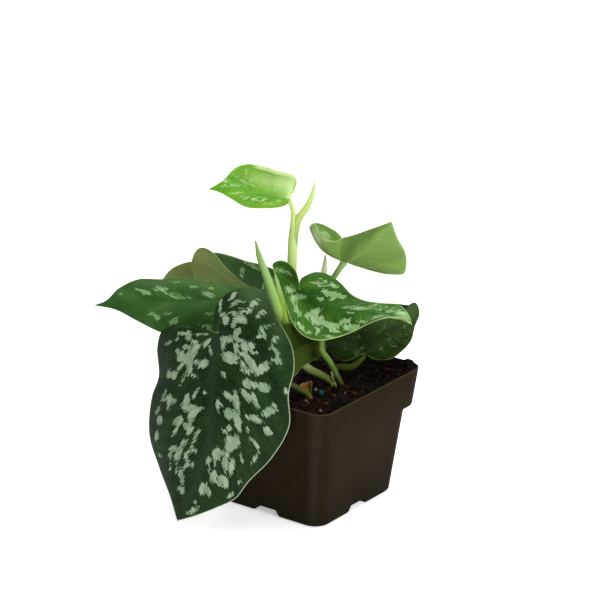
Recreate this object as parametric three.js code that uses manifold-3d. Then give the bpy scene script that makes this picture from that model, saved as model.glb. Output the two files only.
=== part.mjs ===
// Satin pothos in its square black nursery pot. Millimetres, +Z up.
import * as THREE from "three";
import { mergeVertices } from "three/addons/utils/BufferGeometryUtils.js";
import Module from "manifold-3d";

const wasm = await Module();
wasm.setup();

// ---------------------------------------------------------------- driving sizes

const GAP = 0.3; // clear space between pieces that touch
const BLADE = 0.8; // thickness of a leaf blade

const POT = {
  width: 96.4, // across the top, outside
  height: 74,
  wall: 1.2,
  taper: 0.115, // each side narrows by this much per millimetre of depth
  rimBand: 22.8, // height of the wider band under the rim
  step: 3.15, // how far the body is set in below the band
  corner: 9, // radius of the four upright corners
  channelHeight: 4, // two channels cross under the floor and leave a hollow foot at each corner
  channelTop: 13,
  channelBottom: 18,
  drainHole: 7, // through the roof of a channel
  drainReach: 24, // from the middle to the four outer drain holes
};
const CORNER_STEPS = 5;

const SOIL = {
  top: 70.5,
  bump: 1.1, // how far the surface rises and falls
  heap: { centre: [40, 38], height: 3, spread: 9 }, // against one corner of the pot
  rings: 7,
  holeDepth: 10, // of the plain hole that a stem stands in
};

const BEAD = { centre: [23, -15], radius: 1.8, seat: 0.9 }; // fertiliser, sunk into the soil

// Leaves. Each blade hangs on its midrib, from the stem's joint to the tip, and on the two
// margins that leave the joint round a lobe and meet again at the tip. Left is the side seen
// from above with the tip pointing away. arch lifts the middle of a half blade towards the
// upper side, and lobe is the share of a margin that is fed by veins from the joint itself.
const LEAVES = {
  leaf_front: {
    midrib: [
      [-18, -55, 110], [-16, -63, 90], [-12, -70, 65], [-14, -76, 37], [-27, -82, 5],
    ],
    left: [
      [-21, -55, 116], [-22, -51, 124], [-19, -45, 130], [-10, -40, 134], [0, -39, 133],
      [12, -42, 122], [23, -43, 108], [26, -45, 96], [26, -50, 83], [28, -52, 66],
      [19, -56, 46], [8, -63, 31], [2, -67, 21], [-7, -73, 15], [-18, -78, 9],
    ],
    right: [
      [-24, -56, 107], [-33, -56, 105], [-43, -55, 107], [-52, -54, 106], [-58, -55, 102],
      [-59, -58, 93], [-55, -62, 78], [-57, -66, 66], [-55, -71, 46], [-45, -75, 30],
      [-34, -79, 16],
    ],
    arch: { left: 4, right: 4 },
    lobe: { left: 0.36, right: 0.3 },
  },
  leaf_left: {
    midrib: [
      [-40, -15, 112], [-53, -27, 113], [-67, -41, 113], [-83, -52, 112], [-102, -61, 109],
    ],
    left: [
      [-35, -17, 109], [-29, -17, 105], [-31, -22, 97], [-40, -31, 93], [-53, -42, 94],
      [-65, -49, 98], [-78, -53, 103], [-90, -57, 108],
    ],
    right: [
      [-39, -11, 114], [-35, -5, 115], [-39, -4, 117], [-47, -9, 118], [-59, -15, 119],
      [-70, -20, 120], [-80, -29, 120], [-90, -37, 120], [-96, -47, 116],
      [-98, -55, 111],
    ],
    arch: { left: 4, right: 3 },
    lobe: { left: 0.27, right: 0.27 },
  },
  leaf_cupped: {
    midrib: [
      [-39, 11, 105], [-49, 8, 102], [-62, 4, 102], [-71, 0, 103],
    ],
    left: [
      [-39, 9, 111], [-43, 4, 114], [-49, 2, 118], [-56, 1, 123], [-65, 1, 130],
      [-71, 1, 132], [-76, 1, 131], [-79, 0, 127], [-80, -1, 120], [-76, -2, 112],
    ],
    right: [
      [-38, 19, 108], [-38, 26, 112], [-44, 30, 116], [-54, 31, 117], [-64, 29, 118],
      [-74, 24, 121], [-79, 17, 123], [-80, 11, 119], [-77, 5, 112],
    ],
    arch: { left: -3, right: -4 },
    lobe: { left: 0.2, right: 0.2 },
  },
  leaf_back_left: {
    midrib: [
      [-72, 31, 97], [-84, 25, 98], [-97, 19, 100], [-112, 7, 98],
    ],
    left: [
      [-69, 30, 102], [-72, 28, 109], [-81, 23, 114], [-88, 18, 115], [-94, 15, 115],
      [-101, 11, 112], [-106, 10, 108], [-109, 8, 103],
    ],
    right: [
      [-72, 38, 95], [-79, 46, 94], [-91, 47, 93], [-104, 42, 94], [-111, 30, 96],
      [-113, 18, 97],
    ],
    arch: { left: -2, right: 4 },
    lobe: { left: 0.22, right: 0.22 },
  },
  leaf_centre: {
    midrib: [
      [-4, 0, 122], [10, 2, 116], [25, 7, 114], [42, 15, 114], [56, 23, 108],
    ],
    left: [
      [-4, 4, 125], [-4, 7, 128], [-1, 10, 130], [6, 12, 130], [15, 12, 127], [24, 11, 122],
      [32, 12, 120], [41, 17, 119], [48, 22, 118], [53, 24, 113],
    ],
    right: [
      [-6, 2, 126], [-10, 4, 131], [-16, 5, 134], [-22, 5, 134], [-26, 4, 131],
      [-23, 2, 127], [-17, -1, 121], [-9, -6, 113], [-1, -10, 105], [6, -10, 100],
      [14, -7, 98], [21, 0, 99], [29, 5, 103], [38, 11, 109], [45, 15, 112], [52, 20, 112],
    ],
    arch: { left: 2, right: -3 },
    lobe: { left: 0.2, right: 0.26 },
  },
  leaf_shaded: {
    midrib: [
      [6, 3, 94], [1, -8, 90], [-3, -23, 86], [-9, -38, 80],
    ],
    left: [
      [5, 4, 98], [2, 1, 102], [-1, -7, 105], [-5, -14, 106], [-9, -23, 104], [-11, -30, 97],
      [-11, -35, 88],
    ],
    right: [
      [8, 8, 92], [9, 7, 87], [8, 1, 84], [6, -7, 82], [5, -10, 81], [5, -15, 78], [2, -25, 75],
      [-3, -33, 75],
    ],
    arch: { left: 2, right: 2 },
    lobe: { left: 0.24, right: 0.24 },
  },
  leaf_back_right: {
    midrib: [
      [24, 24, 83], [23, 37, 86], [23, 52, 91], [21, 71, 97],
    ],
    left: [
      [22, 20, 82], [18, 14, 80], [10, 14, 81], [0, 19, 84], [-4, 28, 89], [-2, 42, 94],
      [3, 56, 97], [11, 67, 97],
    ],
    right: [
      [27, 23, 82], [31, 26, 80], [36, 31, 80], [36, 42, 81], [35, 53, 84], [30, 64, 88],
      [25, 76, 92], [19, 81, 95],
    ],
    arch: { left: 2, right: 3 },
    lobe: { left: 0.25, right: 0.25 },
  },
  leaf_upper_right: {
    midrib: [
      [7, 27, 133], [18, 23, 141], [31, 19, 152], [55, 4, 173],
    ],
    left: [
      [9, 32, 130], [12, 40, 126], [17, 51, 121], [19, 58, 119], [26, 58, 121], [30, 55, 128],
      [38, 42, 141], [45, 24, 156],
    ],
    right: [
      [1, 36, 136], [-5, 42, 140], [-9, 42, 143], [-11, 37, 147], [-12, 30, 151],
      [-12, 23, 153], [-10, 17, 153], [-4, 15, 156], [-2, 15, 153], [0, 15, 150],
      [3, 16, 148], [8, 18, 148], [11, 20, 150], [16, 21, 152], [33, 14, 161], [46, 8, 168],
    ],
    arch: { left: 0, right: -4 },
    lobe: { left: 0.3, right: 0.64 },
  },
  leaf_young: {
    midrib: [
      [-23, 16, 167], [-36, 12, 168], [-49, 5, 170], [-62, -7, 171],
    ],
    left: [
      [-22, 13, 165], [-24, 8, 164], [-30, 1, 164], [-38, -4, 165], [-47, -5, 169],
      [-56, -5, 171],
    ],
    right: [
      [-23, 20, 171], [-24, 22, 176], [-26, 21, 179], [-33, 18, 181], [-41, 15, 183],
      [-48, 10, 184], [-53, 6, 182], [-56, -2, 176],
    ],
    arch: { left: -2, right: -3 },
    lobe: { left: 0.16, right: 0.2 },
  },
};

// Leafy stems. A stem stands in the soil on its first point; each branch starts inside it.
// The number after a point's place is the radius there.
const STEMS = {
  stem_front: {
    hole: 2.1,
    branches: [
      [
        [20, -23, 61, 1.5], [20, -23, 67, 1.5], [20, -23, 71.4, 1.5], [15.5, -25, 74.6, 1.7],
        [10, -29, 78.6, 1.7],
        [-1, -38, 87, 1.5], [-13, -45, 99, 1.4], [-17.6, -50, 107, 1.3], [-18.1, -53.9, 109.6, 1.2],
      ],
      [[19.8, -23, 72, 1.1], [17.9, -22, 75.6, 2.2], [16.2, -21.2, 78.5, 3.4]],
    ],
  },
  stem_left: {
    hole: 1.9,
    branches: [
      [
        [-18, -14, 61, 1.6], [-18, -14, 71, 1.6], [-22, -15, 88, 1.5], [-33, -13, 102, 1.4],
        [-41.6, -12.8, 108.4, 1.3], [-40.5, -14.5, 111.1, 1.2],
      ],
    ],
  },
  stem_back_left: {
    hole: 2.3,
    branches: [
      [
        [-30, 16, 61, 2.0], [-30, 16, 71, 2.0], [-31, 14, 85, 1.7], [-35, 10, 95, 1.4],
        [-37.6, 9.8, 100.6, 1.3], [-38.7, 10.7, 104, 1.2],
      ],
      [
        [-30, 16, 74, 1.6], [-36, 20, 88, 1.5], [-50, 27, 97, 1.4], [-63, 30, 95, 1.3],
        [-71, 29.6, 92.6, 1.3], [-72, 30.6, 95.9, 1.2],
      ],
    ],
  },
  stem_centre: {
    hole: 1.8,
    branches: [
      [
        [23.2, 2.4, 61, 1.5], [23.2, 2.4, 71, 1.5], [21, 1.3, 76, 1.5], [18.4, 0.5, 81, 1.5],
        [16.8, -1, 85, 1.4],
        [13, -2.5, 91, 1.4], [12.5, -2, 96, 1.4], [8, 1, 104, 1.4], [3, 4, 112, 1.3],
        [-1.6, 6, 118.4, 1.3], [-3.7, 4.4, 120.8, 1.2], [-3.9, 1.6, 121.7, 1.1],
      ],
      [
        [19.4, 0.9, 79, 1.3], [18.4, 5.8, 79.4, 1.4], [19.4, 10.2, 77.7, 1.4], [20.9, 14.4, 77.1, 1.4],
        [22, 19, 78.2, 1.4], [23.2, 22.6, 80.4, 1.3], [23.9, 24.3, 81.8, 1.2],
      ],
    ],
  },
  stem_upper_right: {
    hole: 2.1,
    branches: [
      [
        [-10, 24, 61, 1.8], [-10, 24, 71, 1.8], [-11, 23, 90, 1.7], [-8, 23, 104, 1.6],
        [-3, 24, 114, 1.5], [1, 24, 122, 1.5], [4.5, 24, 127, 1.4], [7.6, 26.3, 132.3, 1.2],
      ],
      [[-8, 23, 104, 1.4], [-7, 25, 114, 1.5], [-7, 27, 124, 1.5], [-8, 30, 134, 0.5]],
    ],
  },
  stem_young: {
    hole: 3.0,
    branches: [
      [
        [-22, 15, 61, 2.7], [-22, 15, 71, 2.7], [-20, 13, 100, 2.5], [-19, 13, 129, 2.4],
        [-20, 15, 144, 2.3], [-20, 16, 154, 1.9], [-22, 18, 160, 1.4], [-23.3, 16.6, 166, 1.2],
      ],
      [
        [-20, 15.5, 148, 1.8], [-18, 17.6, 156, 1.8], [-15, 21, 162, 1.7], [-14, 25, 168, 1.3],
        [-14, 27, 173, 0.8], [-14, 28, 176.5, 0.35],
      ],
    ],
  },
  stem_spear: {
    hole: 2.3,
    branches: [
      [
        [20, -1, 61, 1.8], [20, -1, 67, 1.8], [20, -1, 71.8, 1.9], [17, -1, 73.6, 1.9],
        [11, -1, 75, 2.0], [2, -2, 78, 2.2],
        [-4, -3, 87, 2.4], [-6, -6, 96, 2.7], [-9.8, -8, 105, 2.7], [-12, -9, 110, 2.5],
        [-14.7, -9.5, 118, 2.3], [-19.2, -9.2, 129, 1.9], [-24.8, -8.8, 140, 1.5], [-28, -8, 148, 0.4],
      ],
      [
        [-6, -6, 97, 2.0], [-7, -8, 104.5, 2.4], [-10, -6.8, 109.5, 2.2], [-13.5, -4.6, 115.4, 1.5],
        [-15.9, -3.9, 120.3, 0.9], [-17.8, -2.6, 124.5, 0.6], [-19.3, -2.3, 128, 0.4],
      ],
      [[20, -1.4, 73, 1.2], [19.9, -1.7, 76.6, 0.9], [18.9, -1.3, 80, 0.4]],
      [[1, -2, 79, 1.5], [0, 2, 86, 1.3], [1.4, 4.8, 92, 1.2], [4.9, 3.6, 93.8, 1.1]],
    ],
  },
};

const MESH = {
  lobeRows: 7, // rows of a half blade whose veins start at the joint
  bladeRows: 13, // rows from there to the tip
  veinSteps: 4,
  stemSides: 8,
  stemStep: 5, // length of one stretch of stem
};

const COLOURS = {
  pot: 0x2a211d,
  soil: 0x241712,
  leaf: 0x2f6b2b,
  youngLeaf: 0x8ccf4a,
  stem: 0x9cc063,
  bead: 0x1c7a86,
};

// ---------------------------------------------------------------- solids

/** A manifold-3d solid of a closed geometry. */
function solidOf(geometry) {
  const bare = geometry.clone();
  bare.deleteAttribute("normal");
  bare.deleteAttribute("uv");
  const merged = mergeVertices(bare, 1e-4);
  return new wasm.Manifold(
    new wasm.Mesh({
      numProp: 3,
      vertProperties: new Float32Array(merged.attributes.position.array),
      triVerts: new Uint32Array(merged.index.array),
    }),
  );
}

/** The three.js geometry of a manifold-3d solid. */
function geometryOf(solid) {
  const mesh = solid.getMesh();
  const geometry = new THREE.BufferGeometry();
  geometry.setAttribute("position", new THREE.BufferAttribute(mesh.vertProperties, 3));
  geometry.setIndex(new THREE.BufferAttribute(mesh.triVerts, 1));
  geometry.computeVertexNormals();
  return geometry;
}

/** One geometry from a list of points and a list of corner triples. */
function meshOf(points, triangles) {
  const geometry = new THREE.BufferGeometry().setFromPoints(points);
  geometry.setIndex(triangles.flat());
  return geometry;
}

/** Closes a stack of rings, lowest first and each anticlockwise from above, with two caps. */
function loft(rings) {
  const sides = rings[0].length;
  const points = rings.flat();
  const triangles = [];
  for (let r = 0; r + 1 < rings.length; r++) {
    for (let s = 0; s < sides; s++) {
      const next = (s + 1) % sides;
      const [a, b] = [r * sides + s, r * sides + next];
      triangles.push([a, b, b + sides], [a, b + sides, a + sides]);
    }
  }
  const centreOf = (ring) =>
    ring.reduce((sum, p) => sum.add(p), new THREE.Vector3()).divideScalar(sides);
  const bottom = points.push(centreOf(rings[0])) - 1;
  const top = points.push(centreOf(rings[rings.length - 1])) - 1;
  const last = (rings.length - 1) * sides;
  for (let s = 0; s < sides; s++) {
    const next = (s + 1) % sides;
    triangles.push([bottom, next, s], [top, last + s, last + next]);
  }
  return meshOf(points, triangles);
}

// ---------------------------------------------------------------- pot

/** The rounded square of a given half width, anticlockwise, at one height. */
function squareRing(half, corner, z) {
  const ring = [];
  for (let k = 0; k < 4; k++) {
    for (let s = 0; s <= CORNER_STEPS; s++) {
      const angle = (Math.PI / 2) * (k + s / CORNER_STEPS);
      const turn = (Math.PI / 2) * k + Math.PI / 4;
      const middle = (half - corner) * Math.SQRT2;
      ring.push(
        new THREE.Vector3(
          middle * Math.cos(turn) + corner * Math.cos(angle),
          middle * Math.sin(turn) + corner * Math.sin(angle),
          z,
        ),
      );
    }
  }
  return ring;
}

/** Half the pot's outside width at a height, in the rim band or in the body below it. */
function outsideHalf(z, inBand) {
  return POT.width / 2 - POT.taper * (POT.height - z) - (inBand ? 0 : POT.step);
}

/** The pot's outside, or with an inset the space that lies that far inside it. */
function potSpace(inset, from, to) {
  const shoulder = POT.height - POT.rimBand + inset;
  return loft([
    squareRing(outsideHalf(from, false) - inset, POT.corner - inset, from),
    squareRing(outsideHalf(shoulder, false) - inset, POT.corner - inset, shoulder),
    squareRing(outsideHalf(shoulder, true) - inset, POT.corner - inset, shoulder + 0.4),
    squareRing(outsideHalf(to, true) - inset, POT.corner - inset, to),
  ]);
}

/** The two channels that cross under the floor, as solids, grown all round by an inset. */
function channels(inset) {
  const shape = new THREE.Shape();
  shape.moveTo(-POT.channelBottom / 2 - inset, -1);
  shape.lineTo(POT.channelBottom / 2 + inset, -1);
  shape.lineTo(POT.channelBottom / 2 + inset, 0);
  shape.lineTo(POT.channelTop / 2 + inset, POT.channelHeight + inset);
  shape.lineTo(-POT.channelTop / 2 - inset, POT.channelHeight + inset);
  shape.lineTo(-POT.channelBottom / 2 - inset, 0);
  const depth = POT.width;
  const prism = new THREE.ExtrudeGeometry(shape, { depth, bevelEnabled: false })
    .translate(0, 0, -depth / 2)
    .rotateX(Math.PI / 2);
  return solidOf(prism).add(solidOf(prism.clone().rotateZ(Math.PI / 2)));
}

/** An upright cylinder, for a hole. */
function pin(x, y, radius, from, to, sides = 12) {
  const cylinder = new THREE.CylinderGeometry(radius, radius, to - from, sides)
    .rotateX(Math.PI / 2)
    .translate(x, y, (from + to) / 2);
  return solidOf(cylinder);
}

function makePot() {
  const inside = solidOf(potSpace(POT.wall, POT.wall, POT.height + 1));
  let pot = solidOf(potSpace(0, 0, POT.height))
    .subtract(inside.subtract(channels(POT.wall)))
    .subtract(channels(0));
  for (const [sx, sy] of [[0, 0], [1, 0], [0, 1], [-1, 0], [0, -1]]) {
    const [x, y] = [sx * POT.drainReach, sy * POT.drainReach];
    pot = pot.subtract(pin(x, y, POT.drainHole / 2, 1, POT.channelHeight + 4, 16));
  }
  return geometryOf(pot);
}

// ---------------------------------------------------------------- soil and bead

/** The lumpy surface of the soil. */
function soilHeight(x, y) {
  const lumps =
    Math.sin(0.21 * x + 1.3) * Math.cos(0.17 * y - 0.4) +
    0.6 * Math.sin(0.43 * x - 0.38 * y + 2.1) +
    0.4 * Math.cos(0.61 * y + 0.29 * x);
  const { centre, height, spread } = SOIL.heap;
  const away = Math.hypot(x - centre[0], y - centre[1]) / spread;
  return SOIL.top + (SOIL.bump * lumps) / 2 + height * Math.exp(-away * away);
}

function makeSoil() {
  const inset = POT.wall + GAP;
  const corner = POT.corner - inset;
  const base = inset;
  const shoulder = POT.height - POT.rimBand + inset + GAP;
  const rings = [
    squareRing(outsideHalf(base, false) - inset, corner, base),
    squareRing(outsideHalf(shoulder, false) - inset, corner, shoulder),
    squareRing(outsideHalf(shoulder, true) - inset, corner, shoulder + 0.4),
  ];
  const full = outsideHalf(SOIL.top, true) - inset - 0.1;
  for (let r = SOIL.rings; r > 0; r--) {
    const half = (full * r) / SOIL.rings;
    const ring = squareRing(half, Math.min(corner, half * 0.9), 0);
    ring.forEach((p) => (p.z = soilHeight(p.x, p.y)));
    rings.push(ring);
  }
  let soil = solidOf(loft(rings)).subtract(channels(inset));
  for (const stem of Object.values(STEMS)) {
    const [x, y] = stem.branches[0][0];
    soil = soil.subtract(pin(x, y, stem.hole, SOIL.top - SOIL.holeDepth, POT.height));
  }
  const [x, y] = BEAD.centre;
  soil = soil.subtract(pin(x, y, BEAD.radius + GAP, SOIL.top - BEAD.seat, POT.height));
  return geometryOf(soil);
}

function makeBead() {
  const [x, y] = BEAD.centre;
  const z = SOIL.top - BEAD.seat + GAP + BEAD.radius;
  return new THREE.SphereGeometry(BEAD.radius, 12, 8).rotateX(Math.PI / 2).translate(x, y, z);
}

// ---------------------------------------------------------------- leaves

const vector = (p) => new THREE.Vector3(p[0], p[1], p[2]);

/** A smooth curve from the joint through hand-set points to the tip. */
function curveThrough(points) {
  const curve = new THREE.CatmullRomCurve3(points.map(vector), false, "centripetal");
  curve.arcLengthDivisions = 400;
  return curve;
}

/** The unit normal of a closed loop of points, by Newell's sum. */
function loopNormal(loop) {
  const sum = new THREE.Vector3();
  loop.forEach((p, k) => sum.add(new THREE.Vector3().crossVectors(p, loop[(k + 1) % loop.length])));
  return sum.normalize();
}

/** The middle surface of a blade: its points, and triangles that face the upper side. */
function bladeSurface(leaf) {
  const { lobeRows, bladeRows, veinSteps } = MESH;
  const midrib = curveThrough(leaf.midrib);
  const points = [];
  for (let k = 0; k <= bladeRows; k++) points.push(midrib.getPointAt(k / bladeRows));
  const triangles = [];
  for (const side of ["left", "right"]) {
    const margin = curveThrough([leaf.midrib[0], ...leaf[side], leaf.midrib.at(-1)]);
    const rows = lobeRows + bladeRows;
    const share = leaf.lobe[side];
    const edge = [];
    for (let i = 0; i <= rows; i++) {
      const u = i <= lobeRows
        ? (share * i) / lobeRows
        : share + ((1 - share) * (i - lobeRows)) / bladeRows;
      edge.push(margin.getPointAt(u));
    }
    const ribs = points.slice(0, bladeRows + 1);
    const upper = loopNormal([...edge, ...ribs.slice(1, -1).reverse()]);
    if (side === "left") upper.negate();
    const widest = Math.max(...edge.map((p, i) => p.distanceTo(ribs[Math.max(0, i - lobeRows)])));
    const ids = edge.map((end, i) => {
      const rib = Math.max(0, i - lobeRows);
      if (i === 0) return Array(veinSteps + 1).fill(0);
      if (i === rows) return Array(veinSteps + 1).fill(bladeRows);
      const start = ribs[rib];
      const rise = (leaf.arch[side] * end.distanceTo(start)) / widest;
      const row = [rib];
      for (let j = 1; j <= veinSteps; j++) {
        const t = j / veinSteps;
        const p = start.clone().lerp(end, t).addScaledVector(upper, rise * Math.sin(Math.PI * t));
        row.push(points.push(p) - 1);
      }
      return row;
    });
    for (let i = 0; i < rows; i++) {
      for (let j = 0; j < veinSteps; j++) {
        const [a, b, c, d] = [ids[i][j], ids[i][j + 1], ids[i + 1][j + 1], ids[i + 1][j]];
        const pair = side === "left" ? [[a, c, b], [a, d, c]] : [[a, b, c], [a, c, d]];
        triangles.push(...pair.filter((corners) => new Set(corners).size === 3));
      }
    }
  }
  return { points, triangles };
}

/** Thickens an open surface equally to both sides and closes it round its border. */
function thicken({ points, triangles }, thickness) {
  const surface = meshOf(points, triangles);
  surface.computeVertexNormals();
  const normal = surface.getAttribute("normal");
  const count = points.length;
  const skin = (offset) =>
    points.map((p, k) => {
      const out = new THREE.Vector3().fromBufferAttribute(normal, k);
      return p.clone().addScaledVector(out, offset);
    });
  const closed = triangles.map((t) => [...t]);
  triangles.forEach(([a, b, c]) => closed.push([a + count, c + count, b + count]));
  const directed = new Set();
  const edges = triangles.flatMap(([a, b, c]) => [[a, b], [b, c], [c, a]]);
  edges.forEach(([a, b]) => directed.add(a + "_" + b));
  for (const [a, b] of edges) {
    if (directed.has(b + "_" + a)) continue;
    closed.push([a, a + count, b + count], [a, b + count, b]);
  }
  return meshOf([...skin(thickness / 2), ...skin(-thickness / 2)], closed);
}

// ---------------------------------------------------------------- stems

/** A round stem through points that each carry a radius. */
function tube(branch) {
  const path = curveThrough(branch);
  const radii = branch.map((p) => p[3]);
  const steps = Math.max(3, Math.ceil(path.getLength() / MESH.stemStep));
  const { normals, binormals } = path.computeFrenetFrames(steps, false);
  const rings = [];
  for (let k = 0; k <= steps; k++) {
    const t = path.getUtoTmapping(k / steps);
    const centre = path.getPoint(t);
    const span = Math.min(radii.length - 2, Math.floor(t * (radii.length - 1)));
    const blend = t * (radii.length - 1) - span;
    const radius = radii[span] * (1 - blend) + radii[span + 1] * blend;
    const ring = [];
    for (let s = 0; s < MESH.stemSides; s++) {
      const angle = (2 * Math.PI * s) / MESH.stemSides;
      ring.push(
        centre
          .clone()
          .addScaledVector(normals[k], radius * Math.cos(angle))
          .addScaledVector(binormals[k], radius * Math.sin(angle)),
      );
    }
    rings.push(ring);
  }
  return loft(rings);
}

function makeStem(stem) {
  const parts = stem.branches.map((branch) => solidOf(tube(branch)));
  return geometryOf(parts.reduce((whole, part) => whole.add(part)));
}

// ---------------------------------------------------------------- assembly

const plant = new THREE.Group();
plant.name = "satin_pothos";

function add(name, geometry, colour, roughness = 0.6) {
  const material = new THREE.MeshStandardMaterial({ color: colour, roughness });
  const mesh = new THREE.Mesh(geometry, material);
  mesh.name = name;
  plant.add(mesh);
}

add("pot", makePot(), COLOURS.pot, 0.5);
add("soil", makeSoil(), COLOURS.soil, 0.95);
add("fertiliser_bead", makeBead(), COLOURS.bead, 0.4);
for (const [name, leaf] of Object.entries(LEAVES)) {
  const colour = name === "leaf_young" ? COLOURS.youngLeaf : COLOURS.leaf;
  add(name, thicken(bladeSurface(leaf), BLADE), colour);
}
for (const [name, stem] of Object.entries(STEMS)) add(name, makeStem(stem), COLOURS.stem);

// The origin lies under the middle of the whole plant, at the height of the table.
const bounds = new THREE.Box3().setFromObject(plant);
const middle = bounds.getCenter(new THREE.Vector3());
plant.position.set(-middle.x, -middle.y, 0);

export default plant;
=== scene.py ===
"""The looks of a young satin pothos in its square black nursery pot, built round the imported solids.

Lengths are in millimetres from the middle of the pot's foot until a mesh is made.
"""

import logging
import math
from dataclasses import dataclass, field
from enum import Enum, IntEnum
from typing import NamedTuple, Sequence, Union

import bmesh
import bpy
import numpy as np
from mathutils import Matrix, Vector, noise
from mathutils.kdtree import KDTree


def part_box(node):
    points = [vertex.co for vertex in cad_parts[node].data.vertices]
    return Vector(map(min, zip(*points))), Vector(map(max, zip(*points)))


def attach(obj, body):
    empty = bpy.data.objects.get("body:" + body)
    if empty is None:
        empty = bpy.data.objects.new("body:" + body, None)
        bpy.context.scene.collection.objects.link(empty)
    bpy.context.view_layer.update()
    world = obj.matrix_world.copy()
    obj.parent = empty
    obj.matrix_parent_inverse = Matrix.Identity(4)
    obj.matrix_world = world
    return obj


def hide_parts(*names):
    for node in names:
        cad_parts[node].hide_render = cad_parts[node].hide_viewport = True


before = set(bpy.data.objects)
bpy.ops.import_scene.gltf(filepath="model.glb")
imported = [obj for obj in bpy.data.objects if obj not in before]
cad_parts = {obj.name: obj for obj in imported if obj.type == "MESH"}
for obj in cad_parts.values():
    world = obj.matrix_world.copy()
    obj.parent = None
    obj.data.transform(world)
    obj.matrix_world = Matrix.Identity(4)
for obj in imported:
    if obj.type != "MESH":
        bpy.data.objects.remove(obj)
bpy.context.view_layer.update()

LOG = logging.getLogger("satin_pothos")
MM = 0.001
BODY = "root"
GAP = 0.3  # clear space between pieces that touch
ROUNDED_FROM = 38  # an edge that turns by this much, in degrees, gets a round
CREASED_FROM = 40  # and by this much it is shaded as a crease

Colour = tuple[float, float, float]
Point = tuple[float, ...]


def pot_centre() -> np.ndarray:
    """Returns: the middle of the pot's foot in the part's frame, in millimetres."""
    low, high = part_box("pot")
    return np.array([low.x + high.x, low.y + high.y, 0.0]) / 2 / MM


CENTRE = pot_centre()


def paint(red: int, green: int, blue: int) -> Colour:
    """Turns a colour as a screen shows it into the linear one that a shader takes.

    Args:
        red, green, blue: the screen's values, 0 to 255.

    Returns:
        The linear colour.
    """
    shown = (value / 255 for value in (red, green, blue))
    return tuple(v / 12.92 if v <= 0.04045 else ((v + 0.055) / 1.055) ** 2.4 for v in shown)


def smoothstep(low: float, high: float, value: np.ndarray) -> np.ndarray:
    """Returns: 0 below low, 1 above high and a smooth rise between."""
    share = np.clip((value - low) / (high - low), 0, 1)
    return share * share * (3 - 2 * share)


# ---------------------------------------------------------------- shader graphs


class Shade:
    """A number in a material's graph. Arithmetic on it adds Math nodes."""

    def __init__(self, graph: "Graph", socket: bpy.types.NodeSocket) -> None:
        """Args: graph: the graph it belongs to. socket: the output that carries it."""
        self.graph = graph
        self.socket = socket

    def _with(self, operation: str, first: "Number", second: "Number") -> "Shade":
        """Returns: the result of one Math node."""
        node = self.graph.node("ShaderNodeMath", {"operation": operation}, {0: first, 1: second})
        return Shade(self.graph, node.outputs[0])

    def __add__(self, other: "Number") -> "Shade":
        """Returns: self + other."""
        return self._with("ADD", self, other)

    __radd__ = __add__

    def __sub__(self, other: "Number") -> "Shade":
        """Returns: self - other."""
        return self._with("SUBTRACT", self, other)

    def __rsub__(self, other: "Number") -> "Shade":
        """Returns: other - self."""
        return self._with("SUBTRACT", other, self)

    def __mul__(self, other: "Number") -> "Shade":
        """Returns: self * other."""
        return self._with("MULTIPLY", self, other)

    __rmul__ = __mul__

    def turned(self, other: "Number") -> "Shade":
        """Returns: the angle whose tangent is self / other, in radians."""
        return self._with("ARCTAN2", self, other)

    def left_over(self, whole: float) -> "Shade":
        """Returns: what is left of self when it is divided into parts of a whole."""
        return self._with("FLOORED_MODULO", self, whole)

    def step(self, low: float, high: float) -> "Shade":
        """Rises or falls smoothly between two values.

        Args:
            low, high: the values that become 0 and 1, in either order.

        Returns:
            The smooth step.
        """
        first, last = (0.0, 1.0) if low < high else (1.0, 0.0)
        values = {"Value": self, "From Min": min(low, high), "From Max": max(low, high)}
        values |= {"To Min": first, "To Max": last}
        node = self.graph.node("ShaderNodeMapRange", {"interpolation_type": "SMOOTHSTEP"}, values)
        return Shade(self.graph, node.outputs[0])


Number = Union[Shade, float]
Source = Union[bpy.types.NodeSocket, Colour]


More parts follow.
